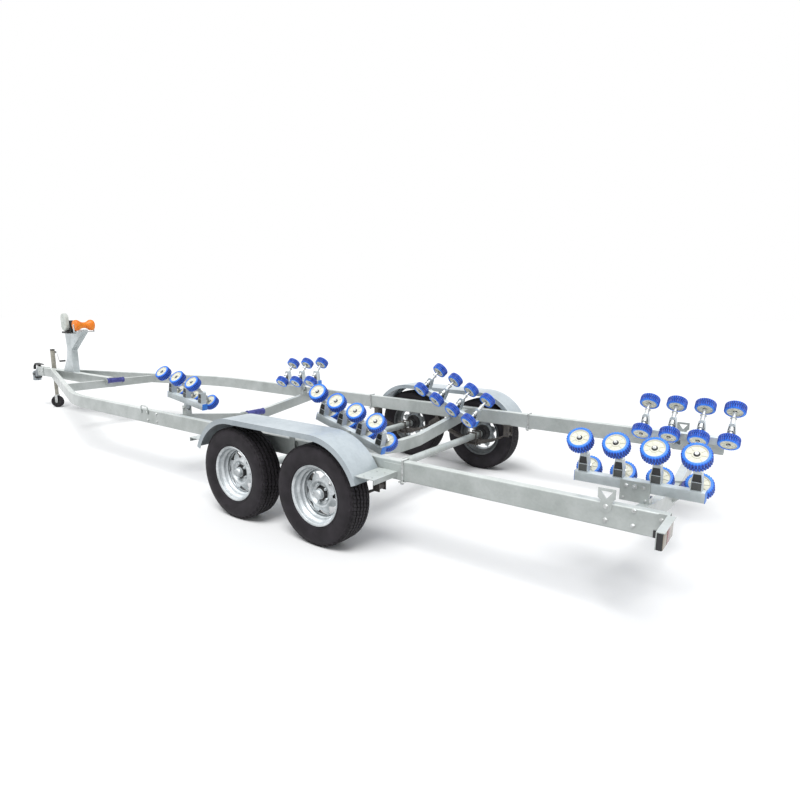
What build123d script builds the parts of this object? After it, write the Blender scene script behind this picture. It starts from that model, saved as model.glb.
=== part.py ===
from build123d import *
import os
from math import atan2, cos, degrees, radians, sin, tan

# Tandem-axle roller trailer for a boat, standing level on its four road wheels and its
# drawbar jack. Millimetres; +X points forward to the coupling, +Y to the left, +Z up,
# and the origin is on the floor under the middle of the trailer.

os.makedirs("parts", exist_ok=True)

# ---------------------------------------------------------------- driving dimensions
overall_length = 8930.0
running_gap = 0.06
seat_gap = 0.3

# Road wheels: 14 inch rims with commercial tyres.
tyre_diameter = 650.0
tyre_width = 188.0
tread_width = 150.0
rim_bead_radius = 178.0
rim_flange_radius = 195.0
rim_width = 156.0
rim_well_radius = 150.0
rim_gauge = 4.0
wheelbase = 775.0
wheel_y = 1066.0
stub_radius = 20.0
axle_tube_radius = 30.0

# Frame: two side rails that draw in to a central drawbar.
rail_width = 50.0
rail_height = 120.0
rail_wall = 4.0
rail_top = 585.0
rail_outer_y = 925.0
rail_corner = 8.0
tail_to_axles = 2459.0
rollers_past_rails = 122.0
bend_behind_nose = 3253.0
bend_radius = 1800.0
tip_behind_nose = 631.0
drawbar_width = 80.0
drawbar_behind_nose = 391.0

# Cross tubes.
cross_width = 50.0
cross_height = 90.0
cross_wall = 4.0
cross_drop = 20.0
cross_flat = 120.0
cross_bend_radius = 260.0

# Roller banks: rollers in pairs on tilted shafts above a rocking channel.
roller_diameter = 130.0
roller_width = 58.0
roller_pitch = 175.0
forward_pitch = 214.0
roller_reach = 128.0
roller_rim = 16.0
hub_recess = 8.0
shaft_radius = 10.0
channel_width = 50.0
channel_height = 54.0
channel_wall = 4.0
channel_overhang = 40.0
arm_lift = 113.0
saddle_length = 46.0
saddle_wall = 5.0
pivot_radius = 8.0
bracket_wall = 8.0
bracket_side_gap = 2.0

# ---------------------------------------------------------------- worked out from these
rear_limit = -overall_length / 2
nose_x = overall_length / 2
axles_x = rear_limit + tail_to_axles
rail_rear_x = rear_limit + rollers_past_rails
rail_bottom = rail_top - rail_height
rail_middle = rail_top - rail_height / 2
rail_y = rail_outer_y - rail_width / 2
rail_inner_y = rail_outer_y - rail_width
tyre_radius = tyre_diameter / 2
roller_radius = roller_diameter / 2
drawbar_side = drawbar_width / 2
drawbar_end = nose_x - drawbar_behind_nose
sides = ((1, "left"), (-1, "right"))
axle_places = ((wheelbase / 2, "front"), (-wheelbase / 2, "rear"))


def finish(piece, node):
    """Label a sub-part and write it to its own file."""
    piece.part.label = node
    export_step(piece.part, f"parts/{node}.step")


# ---------------------------------------------------------------- side rails
# The front leg's outer edge meets the drawbar's side at the tip.
tip_x = nose_x - tip_behind_nose
bend_x = nose_x - bend_behind_nose
draw_angle = atan2(rail_outer_y - drawbar_side, tip_x - bend_x)
route_end_x = tip_x + 3 * drawbar_width
route_end_y = rail_y - (route_end_x - bend_x) * tan(draw_angle)

for side, hand in sides:
    with BuildPart() as rail:
        with BuildLine(Plane.XY.offset(rail_middle)) as route:
            FilletPolyline(
                (rail_rear_x, side * rail_y),
                (bend_x, side * rail_y),
                (route_end_x, side * route_end_y),
                radius=bend_radius,
            )
        with BuildSketch(Plane(route.line @ 0, z_dir=route.line % 0)):
            RectangleRounded(rail_width, rail_height, rail_corner)
            RectangleRounded(
                rail_width - 2 * rail_wall,
                rail_height - 2 * rail_wall,
                rail_corner - rail_wall,
                mode=Mode.SUBTRACT,
            )
        sweep()
        # Cut back to lie flat against the drawbar's side.
        split(bisect_by=Plane((tip_x, side * drawbar_side, rail_top), z_dir=(0, side, 0)))
    finish(rail, f"rail_{hand}")

# ---------------------------------------------------------------- drawbar
front_cross_behind_nose = 2271.0
front_cross_x = nose_x - front_cross_behind_nose
with BuildPart() as drawbar:
    with BuildSketch(Plane.YZ.offset(front_cross_x + cross_width / 2)):
        with Locations((0, rail_middle)):
            RectangleRounded(drawbar_width, rail_height, rail_corner)
            RectangleRounded(
                drawbar_width - 2 * rail_wall,
                rail_height - 2 * rail_wall,
                rail_corner - rail_wall,
                mode=Mode.SUBTRACT,
            )
    extrude(amount=drawbar_end - front_cross_x - cross_width / 2)
finish(drawbar, "drawbar")

# ---------------------------------------------------------------- cross tubes
# The rearmost rollers reach the trailer's rear limit, which places their bank's pivot.
rear_bank_x = rear_limit + 1.5 * roller_pitch + roller_radius
rear_tube_behind_pivot = 53.5
# place, middle of the tube along the trailer, how far its middle dips below its ends
cross_tubes = (
    ("rear", rear_bank_x - rear_tube_behind_pivot, 125.0),
    ("middle", axles_x - 300.0, 95.0),
    ("forward", axles_x + 1585.0, 105.0),
)
cross_tube_x = {place: x for place, x, dip in cross_tubes}
cross_tube_dip = {place: dip for place, x, dip in cross_tubes}
cross_top = rail_top - cross_drop


def cross_tube_top(dip, y):
    """Height of a dipped cross tube's top face at a distance y from the middle."""
    share = (abs(y) - cross_flat) / (rail_inner_y - cross_flat)
    return cross_top - dip * (1 - max(share, 0.0))


def dipped_outline(plane, dip, wall):
    """Outline of a dipped tube seen along the trailer, inset by wall above and below."""
    ends = cross_top - wall
    middle = ends - dip
    height = cross_height - 2 * wall
    with BuildSketch(plane) as outline:
        with BuildLine():
            Polyline(
                (-rail_inner_y, ends),
                (-cross_flat, middle),
                (cross_flat, middle),
                (rail_inner_y, ends),
                (rail_inner_y, ends - height),
                (cross_flat, middle - height),
                (-cross_flat, middle - height),
                (-rail_inner_y, ends - height),
                close=True,
            )
        make_face()
        fillet(outline.vertices().group_by(lambda v: abs(v.Y))[0], radius=cross_bend_radius)
    return outline.sketch


for place, tube_x, dip in cross_tubes:
    with BuildPart() as cross_tube:
        rear_face = Plane.YZ.offset(tube_x - cross_width / 2)
        extrude(dipped_outline(rear_face, dip, 0), amount=cross_width)
        inner_face = rear_face.offset(cross_wall)
        extrude(
            dipped_outline(inner_face, dip, cross_wall),
            amount=cross_width - 2 * cross_wall,
            mode=Mode.SUBTRACT,
        )
    finish(cross_tube, f"cross_tube_{place}")

# The front cross tube is straight and fits between the slanting front legs.
inner_normal = (-sin(draw_angle), -cos(draw_angle))
with BuildPart() as cross_tube_front:
    with Locations((front_cross_x, 0, cross_top - cross_height / 2)):
        Box(cross_width, 2 * rail_y, cross_height)
        Box(
            cross_width - 2 * cross_wall,
            2 * rail_y,
            cross_height - 2 * cross_wall,
            mode=Mode.SUBTRACT,
        )
    for side, hand in sides:
        inner_face = Plane(
            (
                bend_x + inner_normal[0] * rail_width / 2,
                side * (rail_y + inner_normal[1] * rail_width / 2),
                cross_top,
            ),
            z_dir=(inner_normal[0], side * inner_normal[1], 0),
        )
        split(bisect_by=inner_face)
finish(cross_tube_front, "cross_tube_front")

# ---------------------------------------------------------------- roller banks
with BuildPart() as roller:
    Cylinder(roller_radius, roller_width)
    fillet(roller.edges().filter_by(GeomType.CIRCLE), radius=9)
    for face in (1, -1):
        with Locations((0, 0, face * (roller_width - hub_recess) / 2)):
            Cylinder(roller_radius - roller_rim, hub_recess, mode=Mode.SUBTRACT)
    Cylinder(shaft_radius + seat_gap, roller_width, mode=Mode.SUBTRACT)

# bank and its cross tube, pivot ahead of the tube, pivot y, pivot above the tube's top,
# channel above the pivot, rows and their pitch, outer plate length and its reach above the
# pivot, rocking either way from level
banks = (
    ("rear", rear_tube_behind_pivot, 650.0, 84.0, 0.0, 4, roller_pitch, 140.0, 25.0, 18.0),
    ("middle", 37.0, 655.0, 83.5, 0.0, 4, roller_pitch, 60.0, 20.0, 26.0),
    ("forward", -10.0, 700.0, 60.5, 62.0, 3, forward_pitch, 50.0, 16.0, 26.0),
)
inner_plate_length = 50.0
lug_width = 36.0
# how far the front end of each bank is tipped up at rest, and the tilt of its shafts
bank_rest = {
    ("rear", 1): (0.0, 46.0),
    ("rear", -1): (0.0, 46.0),
    ("middle", 1): (16.0, 43.0),
    ("middle", -1): (25.0, 42.0),
    ("forward", 1): (7.5, 45.5),
    ("forward", -1): (-4.5, 44.0),
}
cell_web = 5.0
for bank, ahead, y, stand, channel_z, row_count, pitch, plate_length, plate_rise, rock_limit in banks:
    dip = cross_tube_dip[bank]
    pivot_x = cross_tube_x[bank] + ahead
    z = cross_tube_top(dip, y) + stand
    channel_length = (row_count - 1) * pitch + 2 * channel_overhang
    row_x = [(row - (row_count - 1) / 2) * pitch for row in range(row_count)]
    for side, hand in sides:
        tip_up, shaft_tilt = bank_rest[bank, side]
        rise = radians(tip_up)
        on_pivot = Plane(
            (pivot_x, side * y, z), x_dir=(cos(rise), 0, sin(rise)), z_dir=(-sin(rise), 0, cos(rise))
        )
        lean = -side * (90 - shaft_tilt)
        reach_y = side * roller_reach * cos(radians(shaft_tilt))
        reach_z = roller_reach * sin(radians(shaft_tilt))
        saddle_height = arm_lift - channel_height / 2
        with BuildPart(on_pivot) as bank_frame:
            with Locations((0, 0, channel_z)):
                Box(channel_length, channel_width, channel_height)
                Box(
                    channel_length,
                    channel_width - 2 * channel_wall,
                    channel_height - 2 * channel_wall,
                    mode=Mode.SUBTRACT,
                )
            saddle_foot = channel_z + channel_height / 2
            with Locations([(x, 0, saddle_foot + saddle_height / 2) for x in row_x]):
                Box(saddle_length, channel_width, saddle_height)
            # Two cells through each saddle, with a web between them.
            cell_height = (saddle_height - shaft_radius - 3 * cell_web) / 3
            for cell_z in (cell_web + cell_height / 2, 2 * cell_web + 1.5 * cell_height):
                with Locations([(x, 0, saddle_foot + cell_z) for x in row_x]):
                    Box(
                        saddle_length - 2 * saddle_wall,
                        channel_width,
                        cell_height,
                        mode=Mode.SUBTRACT,
                    )
            with Locations([Location((x, 0, channel_z + arm_lift), (lean, 0, 0)) for x in row_x]):
                Cylinder(2.0 * shaft_radius, 0.9 * roller_reach)
                Cylinder(shaft_radius, 2 * roller_reach + roller_width)
            if channel_z > channel_height:
                # A lug under the channel where a row of rollers is in the pivot's way.
                lug_height = channel_z - channel_height / 2
                with Locations((0, 0, lug_height / 2)):
                    Box(lug_width, lug_width, lug_height)
                with Locations(Location((0, 0, 0), (90, 0, 0))):
                    Cylinder(lug_width / 2, lug_width)
            with Locations(Location((0, 0, 0), (90, 0, 0))):
                Cylinder(pivot_radius + running_gap, channel_width + 2, mode=Mode.SUBTRACT)
        finish(bank_frame, f"bank_frame_{bank}_{hand}")
        with BuildPart(on_pivot) as bank_rollers:
            with Locations(
                [
                    Location(
                        (x, end * reach_y, channel_z + arm_lift + end * reach_z), (lean, 0, 0)
                    )
                    for x in row_x
                    for end in (1, -1)
                ]
            ):
                add(roller.part)
        finish(bank_rollers, f"bank_rollers_{bank}_{hand}")

    # Brackets that stand on the cross tube and carry the pivot bolt.
    plate_top = z + plate_rise
    if channel_z > channel_height:
        gap = lug_width / 2 + bracket_side_gap
        base_z = z - lug_width / 2 - 6
    else:
        gap = channel_width / 2 + bracket_side_gap
        base_z = z - plate_length / 2 * sin(radians(rock_limit)) - channel_height / 2 - 5
    outer = gap + bracket_wall
    with BuildPart() as bracket:
        for side, hand in sides:
            inboard = side * (y - outer)
            outboard = side * (y + outer)
            with BuildSketch(Plane.YZ.offset(pivot_x)):
                with BuildLine():
                    Polyline(
                        (inboard, cross_tube_top(dip, inboard)),
                        (outboard, cross_tube_top(dip, outboard)),
                        (outboard, plate_top),
                        (side * (y + gap), plate_top),
                        (side * (y + gap), base_z),
                        (inboard, base_z),
                        close=True,
                    )
                make_face()
            extrude(amount=plate_length / 2, both=True)
            inner_plate_y = side * (y - gap - bracket_wall / 2)
            with Locations((pivot_x, inner_plate_y, (base_z + plate_top) / 2)):
                Box(inner_plate_length, bracket_wall, plate_top - base_z)
            with Locations(Location((pivot_x, side * y, z), (90, 0, 0))):
                Cylinder(pivot_radius, 2 * outer)
                for end in (1, -1):
                    with Locations((0, 0, end * (outer + 4))):
                        Cylinder(1.6 * pivot_radius, 8)
    finish(bracket, f"bank_brackets_{bank}")

# ---------------------------------------------------------------- keel rollers
keel_roller_radius = 32.0
keel_roller_length = 200.0
keel_spindle_radius = 8.0
keel_ear = 6.0
keel_ear_foot = 60.0
# place, middle of the cross tube along the trailer, height of its top
keel_places = (
    ("rear", cross_tube_x["rear"], cross_top - cross_tube_dip["rear"]),
    ("forward", cross_tube_x["forward"], cross_top - cross_tube_dip["forward"]),
    ("front", front_cross_x, cross_top),
)
with BuildPart() as keel_brackets:
    for place, x, top in keel_places:
        spindle_x = x - cross_width / 2 - keel_roller_radius - 6
        spindle_z = top - 5
        for end in (1, -1):
            ear_y = end * (keel_roller_length / 2 + 1 + keel_ear / 2)
            with BuildSketch(Plane.XZ.offset(-ear_y)):
                with BuildLine():
                    Polyline(
                        (x - cross_width / 2, top - keel_ear_foot),
                        (x - cross_width / 2, top),
                        (x + cross_width / 2, top),
                        (x + cross_width / 2, top + 6),
                        (x - cross_width / 2 - 10, top + 16),
                        (spindle_x - 16, spindle_z + 14),
                        (spindle_x - 16, spindle_z - 14),
                        close=True,
                    )
                make_face()
            extrude(amount=keel_ear / 2, both=True)
        with Locations(Location((spindle_x, 0, spindle_z), (90, 0, 0))):
            Cylinder(keel_spindle_radius, keel_roller_length + 2 + 2 * keel_ear + 10)
finish(keel_brackets, "keel_brackets")

for place, x, top in keel_places:
    spindle_x = x - cross_width / 2 - keel_roller_radius - 6
    spindle_z = top - 5
    with BuildPart(Plane((spindle_x, 0, spindle_z), z_dir=(0, 1, 0))) as keel_roller:
        Cylinder(keel_roller_radius, keel_roller_length)
        fillet(keel_roller.edges(), radius=6)
        Cylinder(keel_spindle_radius + running_gap, keel_roller_length, mode=Mode.SUBTRACT)
    finish(keel_roller, f"keel_roller_{place}")

# ---------------------------------------------------------------- winch post
# Outline seen from the side, as distances behind the nose and heights above the drawbar.
post_width = 80.0
post_wall = 5.0
post_outline = [
    (nose_x - behind, rail_top + up)
    for behind, up in (
        (1331, 0),
        (1041, 0),
        (1171, 175),
        (1209, 315),
        (1186, 515),
        (1411, 515),
        (1471, 507),
        (1591, 573),
        (1659, 573),
        (1659, 540),
        (1321, 295),
    )
]
post_foot_middle = nose_x - 1186.0
bow_x = nose_x - 1641.0
bow_z = rail_top + 630.0
yoke_foot_z = rail_top + 540.0
yoke_wall = 12.0
yoke_length = 28.0
bow_length = 240.0
bow_bell_radius = 70.0
bow_waist_radius = 37.0
bow_spindle_radius = 10.0
ear_wall = 5.0

with BuildPart() as winch_post:
    with BuildSketch(Plane.XZ):
        with BuildLine():
            Polyline(*post_outline, close=True)
        make_face()
    extrude(amount=post_width / 2, both=True)
    with BuildSketch(Plane.XZ):
        with BuildLine():
            Polyline(*post_outline, close=True)
        make_face()
        offset(amount=-post_wall, kind=Kind.INTERSECTION)
    extrude(amount=post_width / 2 - post_wall, both=True, mode=Mode.SUBTRACT)
    # Open foot, so that the sheet post stands like a folded box.
    with Locations((post_foot_middle, 0, rail_top + post_wall / 2)):
        Box(220, post_width - 2 * post_wall, post_wall, mode=Mode.SUBTRACT)
    # Yoke that carries the bow roller's spindle.
    ear_y = bow_length / 2 + 1 + ear_wall / 2
    with Locations((bow_x, 0, yoke_foot_z + yoke_wall / 2)):
        Box(yoke_length, 2 * ear_y + ear_wall, yoke_wall)
    for end in (1, -1):
        with Locations((bow_x, end * ear_y, (yoke_foot_z + bow_z) / 2)):
            Box(yoke_length, ear_wall, bow_z - yoke_foot_z)
        with Locations(Location((bow_x, end * ear_y, bow_z), (90, 0, 0))):
            Cylinder(yoke_length / 2, ear_wall)
    with Locations(Location((bow_x, 0, bow_z), (90, 0, 0))):
        Cylinder(bow_spindle_radius, 2 * ear_y + 16)
finish(winch_post, "winch_post")

# Half profile of the bow roller: two round bells with a waist between them.
half = bow_length / 2
bore = bow_spindle_radius + running_gap
rim = bow_bell_radius - 12
with BuildPart() as bow_roller:
    with BuildSketch(Plane((bow_x, 0, bow_z), x_dir=(0, 0, 1), z_dir=(-1, 0, 0))):
        with BuildLine():
            Polyline((rim, -half), (bore, -half), (bore, half), (rim, half))
            ThreePointArc((rim, half), (bow_bell_radius, half - 30), (rim, half - 60))
            ThreePointArc((rim, half - 60), (bow_waist_radius, 0), (rim, 60 - half))
            ThreePointArc((rim, 60 - half), (bow_bell_radius, 30 - half), (rim, -half))
        make_face()
    revolve(axis=Axis((bow_x, 0, bow_z), (0, 1, 0)))
finish(bow_roller, "bow_roller")

# ---------------------------------------------------------------- winch
winch_x = nose_x - 1276.0
winch_base_z = rail_top + 515.0
drum_z = winch_base_z + 65.0
cheek_y = 34.0
cover_x = winch_x + 15.0
cover_z = winch_base_z + 146.0
cover_height = 228.0
cover_length = 140.0
cover_wall = 4.0
with BuildPart() as winch:
    with Locations((winch_x, 0, winch_base_z + 3)):
        Box(170, 76, 6)
    for end in (1, -1):
        with BuildSketch(Plane.XZ.offset(-end * cheek_y)):
            with Locations((winch_x, winch_base_z + 60)):
                RectangleRounded(160, 120, 20)
        extrude(amount=3, both=True)
    with Locations(Location((winch_x, 0, drum_z), (90, 0, 0))):
        Cylinder(38, 2 * cheek_y)
        Cylinder(9, 2 * cheek_y + 24)
finish(winch, "winch")

# Upright capsule-shaped cover over the winch's gears, on the left-hand cheek.
cover_thickness = 46.0
cover_inner_y = 37.0
with BuildPart() as winch_cover:
    with BuildSketch(Plane.XZ.offset(-cover_inner_y)):
        with Locations((cover_x, cover_z)):
            SlotOverall(cover_height, cover_length, rotation=90)
    extrude(amount=-cover_thickness)
    fillet(winch_cover.faces().sort_by(Axis.Y)[-1].edges(), radius=12)
    with BuildSketch(Plane.XZ.offset(-cover_inner_y)):
        with Locations((cover_x, cover_z)):
            SlotOverall(
                cover_height - 2 * cover_wall, cover_length - 2 * cover_wall, rotation=90
            )
    extrude(amount=-(cover_thickness - cover_wall), mode=Mode.SUBTRACT)
finish(winch_cover, "winch_cover")

# ---------------------------------------------------------------- coupling
ball_radius = 25.4
head_radius = 55.0
head_height = 146.0
ball_x = nose_x - head_radius
head_z = rail_middle - 75.0
ball_z = head_z - 18.0
sleeve_wall = 6.0
sleeve_overlap = 12.0
sleeve_x = drawbar_end - sleeve_overlap
neck_x = drawbar_end + 170.0
neck_height = 90.0
with BuildPart() as coupling:
    sleeve_side = drawbar_side + sleeve_wall
    with Locations((ball_x, 0, head_z)):
        Cylinder(head_radius, head_height)
    fillet(coupling.faces().sort_by(Axis.Z)[-1].edges(), radius=22)
    with BuildSketch(Plane.YZ.offset(sleeve_x)):
        with Locations((0, (rail_top + sleeve_wall + rail_bottom) / 2)):
            Rectangle(2 * sleeve_side, rail_height + sleeve_wall)
    extrude(amount=neck_x - sleeve_x)
    with BuildSketch(Plane.YZ.offset(neck_x)):
        with Locations((0, (rail_top + sleeve_wall + rail_bottom) / 2)):
            Rectangle(2 * sleeve_side, rail_height + sleeve_wall)
    with BuildSketch(Plane.YZ.offset(ball_x)):
        with Locations((0, head_z + 8)):
            Rectangle(2 * head_radius - 14, neck_height)
    loft()
    # The drawbar runs into the sleeve, which is open underneath.
    with Locations(((sleeve_x + neck_x) / 2 - 20, 0, rail_middle)):
        Box(neck_x - sleeve_x, drawbar_width, rail_height, mode=Mode.SUBTRACT)
    with Locations((ball_x, 0, ball_z)):
        Sphere(ball_radius + seat_gap, mode=Mode.SUBTRACT)
    with Locations((ball_x, 0, ball_z - 40)):
        Cylinder(ball_radius + seat_gap, 80, mode=Mode.SUBTRACT)
    # Release handle over the head, pivoted on two ears.
    with BuildSketch(Plane.XZ):
        with BuildLine():
            Polyline(
                (neck_x + 30, rail_top - 45),
                (neck_x + 40, rail_top + 37),
                (neck_x - 80, rail_top + 33),
                (neck_x - 80, rail_top + 42),
                (neck_x + 80, rail_top + 53),
                (neck_x + 155, rail_top + 44),
                (neck_x + 216, rail_top - 8),
                (neck_x + 218, rail_top - 50),
                (neck_x + 206, rail_top - 50),
                (neck_x + 202, rail_top - 14),
                (neck_x + 150, rail_top + 32),
                (neck_x + 85, rail_top + 39),
                (neck_x + 80, rail_top - 65),
                close=True,
            )
        make_face()
    extrude(amount=17, both=True)
finish(coupling, "coupling")

# ---------------------------------------------------------------- jack
jack_x = drawbar_end - 45.0
jack_tube_radius = 30.0
jack_y = -drawbar_side - jack_tube_radius - 20.0
jack_bottom = rail_bottom - 65.0
jack_top = rail_top + 260.0
jack_cap = 12.0
clamp_height = 70.0
leg_radius = 24.0
leg_foot = 186.0
leg_top = 620.0
jack_wheel_radius = 85.0
jack_wheel_width = 50.0
jack_wheel_turn = 40.0
fork_wall = 6.0
fork_pin_radius = 9.0
crank_z = jack_top - 45.0
crank_arm = 141.0
crank_turn = 67.0
crank_grip = 84.0
with BuildPart() as jack_tube:
    with Locations((jack_x, jack_y, (jack_bottom + jack_top) / 2)):
        Cylinder(jack_tube_radius, jack_top - jack_bottom)
    fillet(jack_tube.faces().sort_by(Axis.Z)[-1].edges(), radius=6)
    with Locations((jack_x, (jack_y - drawbar_side) / 2, rail_middle)):
        Box(2 * jack_tube_radius, -drawbar_side - jack_y, clamp_height)
    with Locations((jack_x, jack_y, rail_middle)):
        Cylinder(jack_tube_radius + 8, clamp_height)
    with Locations((jack_x, jack_y, (jack_bottom + jack_top - jack_cap) / 2)):
        Cylinder(
            leg_radius + running_gap, jack_top - jack_cap - jack_bottom, mode=Mode.SUBTRACT
        )
    # Crank: gear boss, short shaft, arm and grip on the outer side.
    crank_y = jack_y - jack_tube_radius - 26
    with Locations(Location((jack_x, crank_y + 14, crank_z), (90, 0, 0))):
        Cylinder(9, 34)
    with Locations(Location((jack_x, crank_y + 23, crank_z), (90, 0, 0))):
        Cylinder(18, 8)
    arm_x = crank_arm * cos(radians(crank_turn))
    arm_z = crank_arm * sin(radians(crank_turn))
    with BuildSketch(Plane.XZ.offset(-crank_y)):
        with Locations((jack_x - arm_x / 2, crank_z - arm_z / 2)):
            SlotCenterToCenter(crank_arm, 22, rotation=crank_turn)
    extrude(amount=3, both=True)
    with Locations(
        Location((jack_x - arm_x, crank_y - crank_grip / 2 - 1, crank_z - arm_z), (90, 0, 0))
    ):
        Cylinder(13, crank_grip)
finish(jack_tube, "jack_tube")

with BuildPart() as jack_leg:
    with Locations((jack_x, jack_y, (leg_foot + leg_top) / 2)):
        Cylinder(leg_radius, leg_top - leg_foot)
    # Swivel pin and its retaining head under the fork's crown.
    with Locations((jack_x, jack_y, leg_foot - 8)):
        Cylinder(fork_pin_radius, 16)
    with Locations((jack_x, jack_y, leg_foot - 14)):
        Cylinder(13, 4)
finish(jack_leg, "jack_leg")

crown_top = leg_foot - seat_gap
crown_wall = 10.0
jack_wheel_place = Plane(
    (jack_x, jack_y, jack_wheel_radius),
    x_dir=(cos(radians(jack_wheel_turn)), sin(radians(jack_wheel_turn)), 0),
    z_dir=(0, 0, 1),
)
half_fork = jack_wheel_width / 2 + 4 + fork_wall / 2
with BuildPart(jack_wheel_place) as jack_fork:
    with Locations((0, 0, crown_top - crown_wall / 2 - jack_wheel_radius)):
        Box(50, 2 * half_fork + fork_wall, crown_wall)
        Cylinder(
            fork_pin_radius + running_gap, crown_wall, mode=Mode.SUBTRACT
        )
    for end in (1, -1):
        leg_height = crown_top - jack_wheel_radius
        with Locations((0, end * half_fork, leg_height / 2)):
            Box(36, fork_wall, leg_height)
        with Locations(Location((0, end * half_fork, 0), (90, 0, 0))):
            Cylinder(18, fork_wall)
    with Locations(Location((0, 0, 0), (90, 0, 0))):
        Cylinder(8, 2 * half_fork + 14)
finish(jack_fork, "jack_fork")

with BuildPart(jack_wheel_place) as jack_wheel:
    with Locations(Location((0, 0, 0), (90, 0, 0))):
        Cylinder(jack_wheel_radius, jack_wheel_width)
        chamfer(jack_wheel.edges().filter_by(GeomType.CIRCLE), length=8)
        for end in (1, -1):
            with Locations((0, 0, end * (jack_wheel_width / 2 - 5))):
                Cylinder(55, 10, mode=Mode.SUBTRACT)
                Cylinder(20, 12)
        Cylinder(8 + running_gap, jack_wheel_width + 8, mode=Mode.SUBTRACT)
finish(jack_wheel, "jack_wheel")

# ---------------------------------------------------------------- wheels and axles
# Half sections are drawn as radius against distance outboard of the wheel's middle.
half_tyre = tyre_width / 2
half_tread = tread_width / 2
half_rim = rim_width / 2
bead_inset = 18.0
bead = half_rim - bead_inset
widest_radius = 272.0
wall_land = 6.0
# The tyre is plain, in many flats, and stands on one of them. Its radii are to the flats.
tyre_flats = 60
bore_radius = rim_bead_radius + seat_gap
with BuildPart() as tyre:
    with BuildSketch():
        RegularPolygon(tyre_radius, tyre_flats, major_radius=False, rotation=180 / tyre_flats)
        RegularPolygon(
            bore_radius,
            tyre_flats,
            major_radius=False,
            rotation=180 / tyre_flats,
            mode=Mode.SUBTRACT,
        )
    extrude(amount=half_tyre, both=True)
    # Shoulders, then sidewalls that spread from the beads past the rim's flanges.
    for end in (0, -1):
        wall_face = tyre.faces().filter_by(Axis.Z).sort_by(Axis.Z)[end]
        chamfer(
            wall_face.outer_wire().edges(),
            length=tyre_radius - widest_radius,
            length2=half_tyre - half_tread,
            reference=wall_face,
        )
    for end in (0, -1):
        wall_face = tyre.faces().filter_by(Axis.Z).sort_by(Axis.Z)[end]
        chamfer(
            wall_face.inner_wires()[0].edges(),
            length=widest_radius - wall_land - bore_radius,
            length2=half_tyre - bead,
            reference=wall_face,
        )

disc_gauge = 5.0
disc_face = 6.0
window_radius = 122.0
window_count = 8
drum_radius = 75.0
cap_radius = 31.0
cap_reach = 55.0
with BuildPart() as rim_part:
    with BuildSketch(Plane.XZ):
        with BuildLine():
            # Barrel: flanges, bead seats and a drop well.
            well = rim_well_radius
            seat = rim_bead_radius
            Polyline(
                (rim_flange_radius, -half_rim),
                (rim_flange_radius, rim_gauge - half_rim),
                (seat, rim_gauge - half_rim),
                (seat, 26 - half_rim),
                (well, 40 - half_rim),
                (well, half_rim - 56),
                (seat, half_rim - 36),
                (seat, half_rim - rim_gauge),
                (rim_flange_radius, half_rim - rim_gauge),
                (rim_flange_radius, half_rim),
                (seat - rim_gauge, half_rim),
                (seat - rim_gauge, half_rim - 34),
                (well - rim_gauge, half_rim - 54),
                (well - rim_gauge, 38 - half_rim),
                (seat - rim_gauge, 24 - half_rim),
                (seat - rim_gauge, -half_rim),
                close=True,
            )
        make_face()
    revolve(axis=Axis.Z)
    with BuildSketch(Plane.XZ):
        with BuildLine():
            # Disc: bolted face, raised ring, then the windowed slope out to the well.
            Polyline(
                (stub_radius + running_gap, disc_face),
                (70, disc_face),
                (84, disc_face + 22),
                (96, disc_face + 22),
                (well - rim_gauge / 2, disc_face - 6),
                (well - rim_gauge / 2, disc_face - 6 - disc_gauge),
                (94, disc_face + 22 - disc_gauge),
                (86, disc_face + 22 - disc_gauge),
                (72, disc_face - disc_gauge),
                (stub_radius + running_gap, disc_face - disc_gauge),
                close=True,
            )
        make_face()
    revolve(axis=Axis.Z)
    with BuildSketch(Plane.XY.offset(-30)):
        with PolarLocations(window_radius, window_count):
            RegularPolygon(25, 3, rotation=180)
    extrude(amount=70, mode=Mode.SUBTRACT)
    # Hub: inner drum, boss through the disc and a capped end.
    with Locations((0, 0, -27)):
        Cylinder(drum_radius, 2 * 28)
        Cylinder(stub_radius + running_gap, 2 * 28, mode=Mode.SUBTRACT)
    with BuildSketch(Plane.XZ):
        with BuildLine():
            Polyline(
                (0, disc_face),
                (cap_radius, disc_face),
                (cap_radius, cap_reach - 6),
                (cap_radius - 6, cap_reach),
                (0, cap_reach),
                close=True,
            )
        make_face()
    revolve(axis=Axis.Z)
    Cylinder(stub_radius + running_gap, 2 * (cap_reach - 20), mode=Mode.SUBTRACT)

for offset_x, axle in axle_places:
    wheel_x = axles_x + offset_x
    for side, hand in sides:
        at_wheel = Location((wheel_x, side * wheel_y, tyre_radius), (-90 * side, 0, 0))
        with BuildPart() as tyre_piece:
            with Locations(at_wheel):
                add(tyre.part)
        finish(tyre_piece, f"tyre_{axle}_{hand}")
        with BuildPart() as rim_piece:
            with Locations(at_wheel):
                add(rim_part.part)
        finish(rim_piece, f"rim_{axle}_{hand}")
    with BuildPart() as axle_beam:
        with Locations(Location((wheel_x, 0, tyre_radius), (90, 0, 0))):
            Cylinder(axle_tube_radius, 2 * (wheel_y - 61))
            Cylinder(stub_radius, 2 * (wheel_y + cap_reach - 22))
    finish(axle_beam, f"axle_{axle}")

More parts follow.
